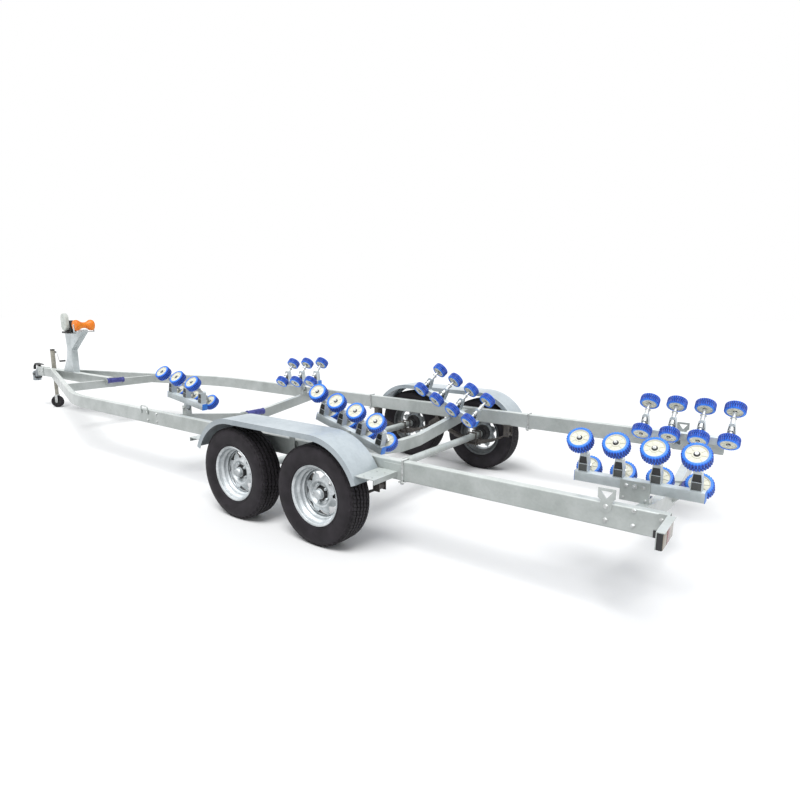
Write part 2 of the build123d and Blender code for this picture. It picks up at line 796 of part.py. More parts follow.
# ---------------------------------------------------------------- leaf springs
spring_y = 900.0
spring_width = 56.0
leaf_gauge = 8.0
leaf_count = 4
eye_reach = 325.0
eye_z = rail_bottom - 75.0
eye_radius = 20.0
eye_bolt_radius = 8.0
hanger_wall = 6.0
leaf_top = tyre_radius - axle_tube_radius - seat_gap
leaf_rise = eye_z - leaf_top
leaf_curve = (eye_reach**2 + leaf_rise**2) / (2 * leaf_rise)
leaf_half_angle = degrees(atan2(eye_reach, leaf_curve - leaf_rise))
rocker_z = rail_bottom - 40.0
u_bolt_radius = 6.0
u_bolt_half = 38.0
u_bolt_out = 40.0
rocker_reach = wheelbase / 2 - eye_reach

for side, hand in sides:
    with BuildPart() as suspension:
        middle = Plane.XZ.offset(-side * spring_y)
        for offset_x, axle in axle_places:
            with BuildSketch(middle):
                for leaf in range(leaf_count):
                    inner = leaf_curve + leaf * leaf_gauge
                    spread = leaf_half_angle * (1 - 0.22 * leaf)
                    with BuildLine():
                        centre = (axles_x + offset_x, leaf_top + leaf_curve)
                        low = CenterArc(centre, inner + leaf_gauge, 270 - spread, 2 * spread)
                        high = CenterArc(centre, inner, 270 - spread, 2 * spread)
                        Line(low @ 0, high @ 0)
                        Line(low @ 1, high @ 1)
                    make_face()
            extrude(amount=spring_width / 2, both=True)
            for end in (1, -1):
                with Locations(
                    Location(
                        (axles_x + offset_x + end * eye_reach, side * spring_y, eye_z), (90, 0, 0)
                    )
                ):
                    Cylinder(eye_radius, spring_width)
                    Cylinder(eye_bolt_radius, spring_width + 2 * hanger_wall + 16)
            # Axle clamp: a plate under the leaves and two U-bolts over the axle.
            plate_z = leaf_top - leaf_count * leaf_gauge - 5
            bolt_top = tyre_radius + axle_tube_radius + u_bolt_radius + seat_gap
            with Locations((axles_x + offset_x, side * spring_y, plate_z)):
                Box(110, spring_width + 40, 10)
            for out in (1, -1):
                bolt_y = side * spring_y + out * u_bolt_out
                for end in (1, -1):
                    with Locations(
                        (axles_x + offset_x + end * u_bolt_half, bolt_y, (bolt_top + plate_z - 20) / 2)
                    ):
                        Cylinder(u_bolt_radius, bolt_top - plate_z + 20)
                with Locations(Location((axles_x + offset_x, bolt_y, bolt_top), (0, 90, 0))):
                    Cylinder(u_bolt_radius, 2 * (u_bolt_half + u_bolt_radius))
        # Hangers at the outer eyes, and the rocker that joins the inner ones.
        hanger_y = spring_width / 2 + hanger_wall / 2
        for end in (1, -1):
            hanger_x = axles_x + end * (wheelbase / 2 + eye_reach)
            for out in (1, -1):
                with Locations(
                    (hanger_x, side * spring_y + out * hanger_y, (rail_bottom + eye_z - 25) / 2)
                ):
                    Box(50, hanger_wall, rail_bottom - eye_z + 25)
            with Locations((hanger_x, side * spring_y, rail_bottom - 3)):
                Box(70, spring_width + 2 * hanger_wall, 6)
        for out in (1, -1):
            with BuildSketch(Plane.XZ.offset(-(side * spring_y + out * hanger_y))):
                with BuildLine():
                    Polyline(
                        (axles_x - rocker_reach - 20, eye_z - 18),
                        (axles_x + rocker_reach + 20, eye_z - 18),
                        (axles_x + rocker_reach + 20, eye_z + 12),
                        (axles_x + 22, rocker_z + 20),
                        (axles_x - 22, rocker_z + 20),
                        (axles_x - rocker_reach - 20, eye_z + 12),
                        close=True,
                    )
                make_face()
            extrude(amount=hanger_wall / 2, both=True)
        with Locations((axles_x, side * spring_y, (rail_bottom + rocker_z - 14) / 2)):
            Box(36, spring_width, rail_bottom - rocker_z + 14)
        with Locations(Location((axles_x, side * spring_y, rocker_z), (90, 0, 0))):
            Cylinder(10, spring_width + 2 * hanger_wall + 20)
    finish(suspension, f"suspension_{hand}")

# ---------------------------------------------------------------- mudguards
guard_inner_y = rail_outer_y + 10.0
guard_outer_y = 1172.0
guard_clearance = 67.0
guard_radius = tyre_radius + guard_clearance
guard_gauge = 3.0
guard_lip = 35.0
guard_tip_angle = 22.0
front_wheel_x = axles_x + wheelbase / 2
rear_wheel_x = axles_x - wheelbase / 2


def guard_band(plane, depth):
    """Side outline of a mudguard's rim, from its outer face in to a given depth."""
    with BuildSketch(plane) as band:
        with BuildLine():
            sweep_angle = 90 - guard_tip_angle
            outer = guard_radius
            inner = guard_radius - depth
            front = (front_wheel_x, tyre_radius)
            rear = (rear_wheel_x, tyre_radius)
            front_out = CenterArc(front, outer, guard_tip_angle, sweep_angle)
            front_in = CenterArc(front, inner, guard_tip_angle, sweep_angle)
            rear_out = CenterArc(rear, outer, 90, sweep_angle)
            rear_in = CenterArc(rear, inner, 90, sweep_angle)
            Line(front_out @ 1, rear_out @ 0)
            Line(front_in @ 1, rear_in @ 0)
            Line(front_out @ 0, front_in @ 0)
            Line(rear_out @ 1, rear_in @ 1)
        make_face()
    return band.sketch


for side, hand in sides:
    with BuildPart() as mudguard:
        inner_edge = Plane.XZ.offset(-side * guard_inner_y)
        extrude(
            guard_band(inner_edge, guard_gauge),
            amount=-side * (guard_outer_y - guard_inner_y),
        )
        extrude(guard_band(inner_edge, guard_lip), amount=-side * guard_gauge)
        outer_edge = Plane.XZ.offset(-side * guard_outer_y)
        extrude(guard_band(outer_edge, guard_lip), amount=side * guard_gauge)
    finish(mudguard, f"mudguard_{hand}")

# Step plates in front of and behind each mudguard, and a strut up to its flat top.
clamp_from = 765.0
clamp_to = 915.0
clamp_gauge = 6.0
step_z = rail_top - 65.0
step_gauge = 5.0
step_from = 731.0
step_to = 870.0
step_outer_y = 1150.0
step_flange = 30.0
step_hole_radius = 5.5
step_hole_x = 60.0
step_hole_y = 120.0
step_hole_from_guard = 40.0
clamp_y = rail_outer_y + clamp_gauge / 2
clamp_z = rail_middle - 6.0
strut_foot = rail_bottom + 15.0
with BuildPart() as guard_brackets:
    for side, hand in sides:
        for end in (1, -1):
            with Locations((axles_x + end * (clamp_from + clamp_to) / 2, side * clamp_y, clamp_z)):
                Box(clamp_to - clamp_from, clamp_gauge, 90)
            step_y = (rail_outer_y + clamp_gauge + step_outer_y) / 2
            with Locations(
                (axles_x + end * (step_from + step_to) / 2, side * step_y, step_z - step_gauge / 2)
            ):
                Box(
                    step_to - step_from,
                    step_outer_y - rail_outer_y - clamp_gauge,
                    step_gauge,
                )
            with Locations(
                (
                    axles_x + end * (step_to - step_gauge / 2),
                    side * step_y,
                    step_z - step_flange / 2,
                )
            ):
                Box(step_gauge, step_outer_y - rail_outer_y - clamp_gauge, step_flange)
            with Locations(
                (
                    axles_x + end * (step_from + step_hole_from_guard + step_hole_x / 2),
                    side * (step_outer_y - 30 - step_hole_y / 2),
                    step_z,
                )
            ):
                with GridLocations(step_hole_x, step_hole_y, 2, 2):
                    Cylinder(step_hole_radius, 4 * step_gauge, mode=Mode.SUBTRACT)
        # Centre strut: a foot on the rail, an upright and a head under the mudguard.
        strut_top = tyre_radius + guard_radius - guard_gauge
        with Locations((axles_x, side * clamp_y, rail_middle)):
            Box(70, clamp_gauge, rail_height - 10)
        with Locations((axles_x, side * (guard_inner_y + 9), (strut_foot + strut_top) / 2)):
            Box(50, clamp_gauge, strut_top - strut_foot)
        with Locations((axles_x, side * (guard_inner_y + 3), strut_foot + 20)):
            Box(50, 18, 40)
        head_y = (guard_inner_y + 6 + guard_outer_y - 20) / 2
        with Locations((axles_x, side * head_y, strut_top - 3)):
            Box(50, guard_outer_y - guard_inner_y - 26, 6)
finish(guard_brackets, "guard_brackets")

# ---------------------------------------------------------------- lamps
lamp_width = 200.0
lamp_height = 74.0
lamp_depth = 27.0
lamp_outset = 28.0
lamp_corner = 6.0
lamp_lead = 4.0
hood_gauge = 4.0
hood_reach = 3.0
hood_clearance = 1.0
tab_length = 36.0
lamp_inner_y = rail_outer_y + lamp_outset
lamp_outer_y = lamp_inner_y + lamp_width
lamp_front_x = rail_rear_x + lamp_lead
lamp_rear_x = lamp_front_x - lamp_depth
lamp_top = rail_top - hood_gauge - hood_clearance
lamp_bottom = lamp_top - lamp_height
with BuildPart() as lamps:
    for side, hand in sides:
        with BuildSketch(Plane.YZ.offset(lamp_rear_x)):
            middle_y = side * (lamp_inner_y + lamp_outer_y) / 2
            with Locations((middle_y, (lamp_bottom + lamp_top) / 2)):
                RectangleRounded(lamp_width, lamp_height, lamp_corner)
        extrude(amount=lamp_depth)
finish(lamps, "lamps")

# Folded plate out from each rail's end, with a tab along the rail and a lip over the lamp.
flange_x = lamp_front_x + hood_gauge
tab_y = rail_outer_y + hood_gauge
lip_rear_x = lamp_rear_x - hood_reach
with BuildPart() as lamp_brackets:
    for side, hand in sides:
        with BuildSketch(Plane.XY.offset(lamp_bottom)):
            with BuildLine():
                Polyline(
                    (lamp_front_x, side * rail_outer_y),
                    (lamp_front_x, side * lamp_outer_y),
                    (flange_x, side * lamp_outer_y),
                    (flange_x, side * tab_y),
                    (flange_x + tab_length, side * tab_y),
                    (flange_x + tab_length, side * rail_outer_y),
                    close=True,
                )
            make_face()
        extrude(amount=rail_top - lamp_bottom)
        lip_y = side * (rail_outer_y + lamp_outer_y) / 2
        with Locations(((lip_rear_x + lamp_front_x) / 2, lip_y, rail_top - hood_gauge / 2)):
            Box(lamp_front_x - lip_rear_x, lamp_outer_y - rail_outer_y, hood_gauge)
finish(lamp_brackets, "lamp_brackets")

# ---------------------------------------------------------------- tie-downs
tie_x = rail_rear_x + 270.0
tie_head_width = 80.0
tie_shank_width = 52.0
tie_top = rail_top + 70.0
tie_head_foot = rail_top + 12.0
tie_bottom = rail_top - 42.0
tie_foot_corner = 14.0
tie_gauge = 6.0
tie_eye_z = rail_top + 44.0
tie_eye_width = 56.0
tie_eye_height = 36.0
loop_x = axles_x + 1861.0
loop_half = 51.0
loop_top = rail_top + 30.0
loop_foot = rail_top - 40.0
loop_radius = 5.0
loop_bend = 20.0
with BuildPart() as tie_downs:
    for side, hand in sides:
        with BuildSketch(Plane.XZ.offset(-side * (rail_outer_y + tie_gauge / 2))):
            with BuildLine():
                Polyline(
                    (tie_x - tie_head_width / 2, tie_top),
                    (tie_x + tie_head_width / 2, tie_top),
                    (tie_x + tie_head_width / 2, tie_head_foot + 10),
                    (tie_x + tie_shank_width / 2, tie_head_foot),
                    (tie_x + tie_shank_width / 2, tie_bottom + tie_foot_corner),
                    (tie_x + tie_shank_width / 2 - tie_foot_corner, tie_bottom),
                    (tie_x - tie_shank_width / 2 + tie_foot_corner, tie_bottom),
                    (tie_x - tie_shank_width / 2, tie_bottom + tie_foot_corner),
                    (tie_x - tie_shank_width / 2, tie_head_foot),
                    (tie_x - tie_head_width / 2, tie_head_foot + 10),
                    close=True,
                )
            make_face()
            # The eye is a triangle that stands on its point.
            with BuildLine():
                Polyline(
                    (tie_x - tie_eye_width / 2, tie_eye_z + tie_eye_height / 3),
                    (tie_x + tie_eye_width / 2, tie_eye_z + tie_eye_height / 3),
                    (tie_x, tie_eye_z - 2 * tie_eye_height / 3),
                    close=True,
                )
            make_face(mode=Mode.SUBTRACT)
        extrude(amount=tie_gauge / 2, both=True)
        loop_y = side * (rail_outer_y + loop_radius + seat_gap)
        with BuildLine() as loop:
            FilletPolyline(
                (loop_x - loop_half, loop_y, loop_foot),
                (loop_x - loop_half, loop_y, loop_top),
                (loop_x + loop_half, loop_y, loop_top),
                (loop_x + loop_half, loop_y, loop_foot),
                radius=loop_bend,
            )
        with BuildSketch(Plane(loop.line @ 0, z_dir=loop.line % 0)):
            Circle(loop_radius)
        sweep()
finish(tie_downs, "tie_downs")
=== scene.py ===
import math

import bmesh
import bpy
from mathutils import Matrix, Vector


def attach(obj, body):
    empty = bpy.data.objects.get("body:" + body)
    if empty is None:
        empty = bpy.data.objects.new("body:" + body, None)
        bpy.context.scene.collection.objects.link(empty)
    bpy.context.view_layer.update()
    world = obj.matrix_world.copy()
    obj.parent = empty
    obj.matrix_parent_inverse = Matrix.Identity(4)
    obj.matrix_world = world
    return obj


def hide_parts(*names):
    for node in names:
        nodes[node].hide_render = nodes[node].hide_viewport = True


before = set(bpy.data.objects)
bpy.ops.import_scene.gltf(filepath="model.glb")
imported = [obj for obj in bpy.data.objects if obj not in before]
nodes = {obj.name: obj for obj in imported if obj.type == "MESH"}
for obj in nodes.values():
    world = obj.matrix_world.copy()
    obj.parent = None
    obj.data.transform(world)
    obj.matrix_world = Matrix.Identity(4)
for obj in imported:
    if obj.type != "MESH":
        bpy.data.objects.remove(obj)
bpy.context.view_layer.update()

scene = bpy.context.scene
scene.view_settings.view_transform = "Standard"

# ---------------------------------------------------------------- camera
# Stands behind and to the left of the trailer at about a person's eye height and looks
# forward across it, so that the whole length shows.
lens = bpy.data.cameras.new("camera")
lens.sensor_width = 36.0
lens.lens = 25.333
lens.shift_x = 0.0049
lens.shift_y = 0.0123
lens.clip_end = 200.0
camera = bpy.data.objects.new("camera", lens)
scene.collection.objects.link(camera)
scene.camera = camera
camera_yaw = -0.9355
camera_dip = 0.1843
camera_roll = 0.0029
looking = Vector(
    (
        math.cos(camera_yaw) * math.cos(camera_dip),
        math.sin(camera_yaw) * math.cos(camera_dip),
        -math.sin(camera_dip),
    )
)
across = looking.cross(Vector((0, 0, 1))).normalized()
upward = across.cross(looking)
turned_across = math.cos(camera_roll) * across + math.sin(camera_roll) * upward
turned_upward = math.cos(camera_roll) * upward - math.sin(camera_roll) * across
camera.matrix_world = Matrix(
    (
        (turned_across.x, turned_upward.x, -looking.x, -4.7624),
        (turned_across.y, turned_upward.y, -looking.y, 3.5034),
        (turned_across.z, turned_upward.z, -looking.z, 1.4827),
        (0, 0, 0, 1),
    )
)

# ---------------------------------------------------------------- light and floor
# An even white sky, one broad lamp high on the left and a white floor that keeps the
# trailer's soft shadow. The background shows plain white.
def set_inputs(node, values):
    """Set some of a shader node's inputs."""
    for name, value in values.items():
        node.inputs[name].default_value = value


def add_node(tree, kind, inputs=None, operation=None):
    """Add a shader node and set some of its inputs."""
    node = tree.nodes.new("ShaderNode" + kind)
    if operation:
        node.operation = operation
    set_inputs(node, inputs or {})
    return node


def new_finish(name, inputs):
    """A material with some inputs of its own Principled BSDF set."""
    finish = bpy.data.materials.new(name)
    finish.use_nodes = True
    set_inputs(finish.node_tree.nodes["Principled BSDF"], inputs)
    return finish


sky = bpy.data.worlds.new("sky")
scene.world = sky
sky.use_nodes = True
tree = sky.node_tree
tree.nodes.clear()
sky_light = add_node(tree, "Background", {"Color": (0.96, 0.98, 1.0, 1), "Strength": 0.62})
sky_seen = add_node(tree, "Background", {"Color": (1, 1, 1, 1), "Strength": 1.0})
rays = add_node(tree, "LightPath")
seen_or_mirrored = add_node(tree, "Math", operation="MAXIMUM")
mirrored = add_node(tree, "Math", operation="MAXIMUM")
mixed = add_node(tree, "MixShader")
world_out = add_node(tree, "OutputWorld")
link = tree.links.new
link(rays.outputs["Is Glossy Ray"], mirrored.inputs[0])
link(rays.outputs["Is Transmission Ray"], mirrored.inputs[1])
link(rays.outputs["Is Camera Ray"], seen_or_mirrored.inputs[0])
link(mirrored.outputs[0], seen_or_mirrored.inputs[1])
link(seen_or_mirrored.outputs[0], mixed.inputs[0])
link(sky_light.outputs[0], mixed.inputs[1])
link(sky_seen.outputs[0], mixed.inputs[2])
link(mixed.outputs[0], world_out.inputs["Surface"])

sun = bpy.data.lights.new("broad_lamp", "SUN")
sun.energy = 2.3
sun.angle = math.radians(30)
sun_object = bpy.data.objects.new("broad_lamp", sun)
scene.collection.objects.link(sun_object)
sun_object.rotation_euler = (math.radians(-24), math.radians(-14), 0)

floor_size = 60.0
mesh = bpy.data.meshes.new("floor")
bm = bmesh.new()
bmesh.ops.create_grid(bm, x_segments=1, y_segments=1, size=floor_size)
bm.to_mesh(mesh)
bm.free()
floor = bpy.data.objects.new("floor", mesh)
scene.collection.objects.link(floor)
paint = new_finish(
    "floor_white",
    {"Base Color": (0.90, 0.90, 0.90, 1), "Roughness": 1.0, "Specular IOR Level": 0.0},
)
mesh.materials.append(paint)

# ---------------------------------------------------------------- galvanised frame
# Rolled box section, cross tubes, brackets and axles, welded or bolted up and dipped in
# hot zinc. The zinc is dull and pale, with broad cloudy patches and a faint crystal. Its
# colour is then scaled by how far each face looks up, as painted light from the sky:
# faces that look up are painted paler and those that look down painted darker.
zinc = bpy.data.node_groups.new("zinc_surface", "ShaderNodeTree")
for name, way, kind in (
    ("Vector", "INPUT", "Vector"),
    ("Crystal Scale", "INPUT", "Float"),
    ("Cloud Scale", "INPUT", "Float"),
    ("Dark", "INPUT", "Color"),
    ("Pale", "INPUT", "Color"),
    ("Color", "OUTPUT", "Color"),
    ("Sheen", "OUTPUT", "Float"),
    ("Height", "OUTPUT", "Float"),
):
    zinc.interface.new_socket(name, in_out=way, socket_type="NodeSocket" + kind)
inside = zinc.nodes.new("NodeGroupInput")
outside = zinc.nodes.new("NodeGroupOutput")
crystals = add_node(zinc, "TexVoronoi")
clouds = add_node(zinc, "TexNoise", {"Detail": 4.0, "Roughness": 0.6})
fine = add_node(zinc, "TexNoise", {"Scale": 240.0, "Detail": 2.0})
grey = add_node(zinc, "SeparateColor")
weight = add_node(zinc, "Math", {1: 0.16}, "MULTIPLY_ADD")
patch = add_node(
    zinc, "MapRange", {"From Min": 0.32, "From Max": 0.68, "To Min": 0.0, "To Max": 0.84}
)
blend = add_node(zinc, "Mix")
blend.data_type = "RGBA"
sheen = add_node(zinc, "MapRange", {"To Min": 0.62, "To Max": 0.42})
# Painted light: the colour is scaled by the world normal, paler up and darker down.
facing = add_node(zinc, "NewGeometry")
upward_part = add_node(zinc, "SeparateXYZ")
painted_sky_shading = add_node(zinc, "MapRange", {"From Min": -0.15, "To Min": 0.80, "To Max": 1.50})
sky_shaded_colour = add_node(zinc, "VectorMath", operation="SCALE")
link = zinc.links.new
link(facing.outputs["Normal"], upward_part.inputs["Vector"])
link(upward_part.outputs["Z"], painted_sky_shading.inputs["Value"])
link(blend.outputs["Result"], sky_shaded_colour.inputs[0])
link(painted_sky_shading.outputs["Result"], sky_shaded_colour.inputs["Scale"])
link(inside.outputs["Vector"], crystals.inputs["Vector"])
link(inside.outputs["Vector"], clouds.inputs["Vector"])
link(inside.outputs["Vector"], fine.inputs["Vector"])
link(inside.outputs["Crystal Scale"], crystals.inputs["Scale"])
link(inside.outputs["Cloud Scale"], clouds.inputs["Scale"])
link(crystals.outputs["Color"], grey.inputs["Color"])
link(clouds.outputs["Fac"], patch.inputs["Value"])
link(grey.outputs["Red"], weight.inputs[0])
link(patch.outputs["Result"], weight.inputs[2])
link(weight.outputs[0], blend.inputs["Factor"])
link(inside.outputs["Dark"], blend.inputs["A"])
link(inside.outputs["Pale"], blend.inputs["B"])
link(sky_shaded_colour.outputs["Vector"], outside.inputs["Color"])
link(weight.outputs[0], sheen.inputs["Value"])
link(sheen.outputs["Result"], outside.inputs["Sheen"])
link(fine.outputs["Fac"], outside.inputs["Height"])


def zinc_coat(
    name, dark, pale, crystal=90.0, cloud=5.0, metal=0.45, relief=0.12, coat_weight=0.5
):
    """A zinc-coated steel finish between two greys."""
    coat = new_finish(name, {"Metallic": metal, "Coat Weight": coat_weight, "Coat Roughness": 0.22})
    tree = coat.node_tree
    wire = tree.links.new
    body = tree.nodes["Principled BSDF"]
    place = add_node(tree, "TexCoord")
    group = add_node(tree, "Group")
    group.node_tree = zinc
    set_inputs(
        group,
        {
            "Crystal Scale": crystal,
            "Cloud Scale": cloud,
            "Dark": (*dark, 1),
            "Pale": (*pale, 1),
        },
    )
    bump = add_node(tree, "Bump", {"Strength": relief, "Distance": 0.0006})
    wire(place.outputs["Object"], group.inputs["Vector"])
    wire(group.outputs["Color"], body.inputs["Base Color"])
    wire(group.outputs["Sheen"], body.inputs["Roughness"])
    wire(group.outputs["Height"], bump.inputs["Height"])
    wire(bump.outputs["Normal"], body.inputs["Normal"])
    return coat


def give(node, coat):
    """Put one finish on all of a frame node's faces."""
    data = nodes[node].data
    data.materials.clear()
    data.materials.append(coat)


frame_zinc = zinc_coat("frame_zinc", (0.37, 0.40, 0.385), (0.53, 0.56, 0.55))
sheet_zinc = zinc_coat("sheet_zinc", (0.44, 0.49, 0.50), (0.68, 0.73, 0.75), crystal=45.0)
frame_nodes = (
    "rail_left",
    "rail_right",
    "drawbar",
    "cross_tube_front",
    "cross_tube_forward",
    "cross_tube_middle",
    "cross_tube_rear",
    "axle_front",
    "axle_rear",
    "keel_brackets",
    "guard_brackets",
    "lamp_brackets",
    "tie_downs",
    "bank_brackets_rear",
    "bank_brackets_middle",
    "bank_brackets_forward",
)
for name in frame_nodes:
    give(name, frame_zinc)
give("winch_post", sheet_zinc)

# ---------------------------------------------------------------- mudguards
# Pressed from thinner, brighter galvanised sheet that mirrors the sky, with a bluish
# crystal. Each spans both wheels on one side.
guard_zinc = zinc_coat(
    "guard_zinc", (0.30, 0.345, 0.375), (0.47, 0.52, 0.55), crystal=60.0, cloud=2.2, metal=0.75
)
for name in ("mudguard_left", "mudguard_right"):
    give(name, guard_zinc)

# ---------------------------------------------------------------- tyres
# Moulded rubber in one piece. The crown has five rows of raised blocks between zigzag
# grooves, the shoulders have notches, and the sidewalls plain moulded rings.
wheel_places = (
    ("front", "left", -1.6185, 1.066),
    ("front", "right", -1.6185, -1.066),
    ("rear", "left", -2.3935, 1.066),
    ("rear", "right", -2.3935, -1.066),
)
axle_height = 0.325
tyre_half_section = (
    (0.0700, 0.1790),
    (0.0737, 0.1850),
    (0.0737, 0.1975),
    (0.0785, 0.2005),
    (0.0815, 0.2050),
    (0.0800, 0.2095),
    (0.0845, 0.2180),
    (0.0895, 0.2330),
    (0.0925, 0.2490),
    (0.0936, 0.2620),
    (0.0926, 0.2760),
    (0.0900, 0.2890),
    (0.0893, 0.2905),
    (0.0878, 0.2925),
    (0.0855, 0.3000),
    (0.0835, 0.3060),
    (0.0800, 0.3130),
    (0.0735, 0.3180),
    (0.0480, 0.3190),
    (0.0470, 0.3130),
    (0.0425, 0.3130),
    (0.0415, 0.3194),
    (0.0185, 0.3200),
    (0.0175, 0.3135),
    (0.0130, 0.3135),
    (0.0120, 0.3200),
)
tread_blocks = 84
block_gap = 0.0020
block_rise = 0.0046
zigzag = 0.0030
groove_slant = 0.9
tread_rows = (0.0, 0.030, 0.0605)
row_reach = 0.006
tread_from = 0.310
crown_from = 0.3175


def mottled(name, roughness, low, high, scale, detail=2.0, spread=(0.0, 1.0), bands=None):
    """A finish whose colour wanders between two tones, in patches or in bands."""
    finish = new_finish(name, {"Roughness": roughness})
    tree = finish.node_tree
    place = add_node(tree, "TexCoord")
    if bands:
        pattern = add_node(tree, "TexWave", {"Scale": scale})
        pattern.bands_direction = bands
    else:
        pattern = add_node(tree, "TexNoise", {"Scale": scale, "Detail": detail})
    tone = add_node(tree, "ValToRGB")
    for stop, position, colour in zip(tone.color_ramp.elements, spread, (low, high)):
        stop.position = position
        stop.color = (*colour, 1)
    tree.links.new(place.outputs["Object"], pattern.inputs["Vector"])
    tree.links.new(pattern.outputs["Color" if bands else "Fac"], tone.inputs["Fac"])
    tree.links.new(tone.outputs["Color"], tree.nodes["Principled BSDF"].inputs["Base Color"])
    return finish


def grained(finish, scale, strength):
    """Roughen a finish with a fine grain."""
    tree = finish.node_tree
    place = add_node(tree, "TexCoord")
    grain = add_node(tree, "TexNoise", {"Scale": scale})
    relief = add_node(tree, "Bump", {"Strength": strength, "Distance": 0.0004})
    tree.links.new(place.outputs["Object"], grain.inputs["Vector"])
    tree.links.new(grain.outputs["Fac"], relief.inputs["Height"])
    tree.links.new(relief.outputs["Normal"], tree.nodes["Principled BSDF"].inputs["Normal"])


def toned(finish, name, low, high):
    """A copy of a finish between two other tones."""
    variant = finish.copy()
    variant.name = name
    ramp = next(n for n in variant.node_tree.nodes if n.type == "VALTORGB").color_ramp
    ramp.elements[0].color = (*low, 1)
    ramp.elements[1].color = (*high, 1)
    return variant


rubber = mottled(
    "tyre_rubber", 0.72, (0.0080, 0.0062, 0.0085), (0.022, 0.018, 0.023), 14.0, 6.0, (0.35, 0.80)
)
set_inputs(rubber.node_tree.nodes["Principled BSDF"], {"Specular IOR Level": 0.35})
grained(rubber, 420.0, 0.25)
# Grooves and block sides are painted near black, as painted shade between the blocks.
groove_shade_black = toned(rubber, "groove_shade_black", (0.0020, 0.0018, 0.0022), (0.0050, 0.0045, 0.0050))


def new_piece(name, bm, finishes, body):
    """Turn a finished bmesh into an object that rides on one body of the trailer."""
    data = bpy.data.meshes.new(name)
    for face in bm.faces:
        face.smooth = True
    bm.to_mesh(data)
    bm.free()
    piece = bpy.data.objects.new(name, data)
    scene.collection.objects.link(piece)
    for finish in finishes:
        data.materials.append(finish)
    data.set_sharp_from_angle(angle=math.radians(38))
    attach(piece, body)
    return piece


def spun(section, steps, closed=True):
    """A ring made by turning a section, given as distance along and out from the axis."""
    bm = bmesh.new()
    corners = [bm.verts.new((0, along, out)) for along, out in section]
    loop = list(zip(corners, corners[1:]))
    if closed:
        loop.append((corners[-1], corners[0]))
    edges = [bm.edges.new(pair) for pair in loop]
    bmesh.ops.spin(
        bm,
        geom=corners + edges,
        axis=(0, 1, 0),
        cent=(0, 0, 0),
        angle=2 * math.pi,
        steps=steps,
        use_merge=True,
    )
    bmesh.ops.remove_doubles(bm, verts=bm.verts, dist=1e-6)
    bmesh.ops.recalc_face_normals(bm, faces=bm.faces)
    return bm


def both_halves(half):
    """A whole section from its outboard half."""
    return [*half, *((-along, out) for along, out in reversed(half))]


def polar(point):
    """How far a point is out from the Y axis, and its turn about it."""
    return math.hypot(point.x, point.z), math.atan2(point.x, point.z)


def tyre_mesh():
    bm = spun(both_halves(tyre_half_section), tread_blocks)
    step = 2 * math.pi / tread_blocks
    for corner in bm.verts:
        out, turn = polar(corner.co)
        if out > tread_from:
            count = round(turn / step)
            if abs(corner.co.y) < 0.060:
                corner.co.y += zigzag if count % 2 else -zigzag
            turn += corner.co.y * groove_slant
            corner.co.x = out * math.sin(turn)
            corner.co.z = out * math.cos(turn)
    blocks = []
    notches = []
    for face in bm.faces:
        middle = face.calc_center_median()
        out, turn = polar(middle)
        if out > crown_from and min(abs(abs(middle.y) - row) for row in tread_rows) < row_reach:
            blocks.append(face)
        elif 0.3085 < out < 0.3170 and abs(middle.y) > 0.072:
            count = round(turn / step - 0.5)
            if count % 2:
                notches.append(face)
        # Crown faces between the blocks take the painted shade finish.
        if out > tread_from and abs(middle.y) < 0.0735:
            face.material_index = 1
    bmesh.ops.inset_individual(bm, faces=blocks, thickness=block_gap, depth=block_rise)
    for face in blocks:
        face.material_index = 0
    bmesh.ops.inset_individual(bm, faces=notches, thickness=0.0012, depth=-0.0030)
    return bm


for axle, hand, x, y in wheel_places:
    bm = tyre_mesh()
    bmesh.ops.translate(bm, verts=bm.verts, vec=(x, y, axle_height))
    tyre = new_piece(
        f"road_tyre_{axle}_{hand}",
        bm,
        [rubber, groove_shade_black],
        f"wheel_{axle}_{hand}",
    )
    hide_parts(f"tyre_{axle}_{hand}")

# ---------------------------------------------------------------- wheel rims
# Rolled steel barrel with a pressed disc welded inside it, all bright zinc. Eight
# three-cornered windows stand around a raised ring, and five nuts hold it to the hub.
rim_zinc = zinc_coat(
    "rim_zinc", (0.34, 0.37, 0.38), (0.74, 0.77, 0.79), crystal=110.0, cloud=11.0, metal=0.8
)
# The barrel behind the disc is painted dark, as painted shade inside the wheel.
well_shade_zinc = zinc_coat(
    "well_shade_zinc", (0.055, 0.060, 0.062), (0.13, 0.14, 0.145), crystal=90.0, cloud=14.0, metal=0.3
)
# Black paint for the wheel hubs and lamp bases, also used as painted shade on the roller washers
# and in the upper saddle cells.
hub_black_and_shade = mottled("hub_black_and_shade", 0.38, (0.006, 0.006, 0.007), (0.028, 0.028, 0.030), 60.0)

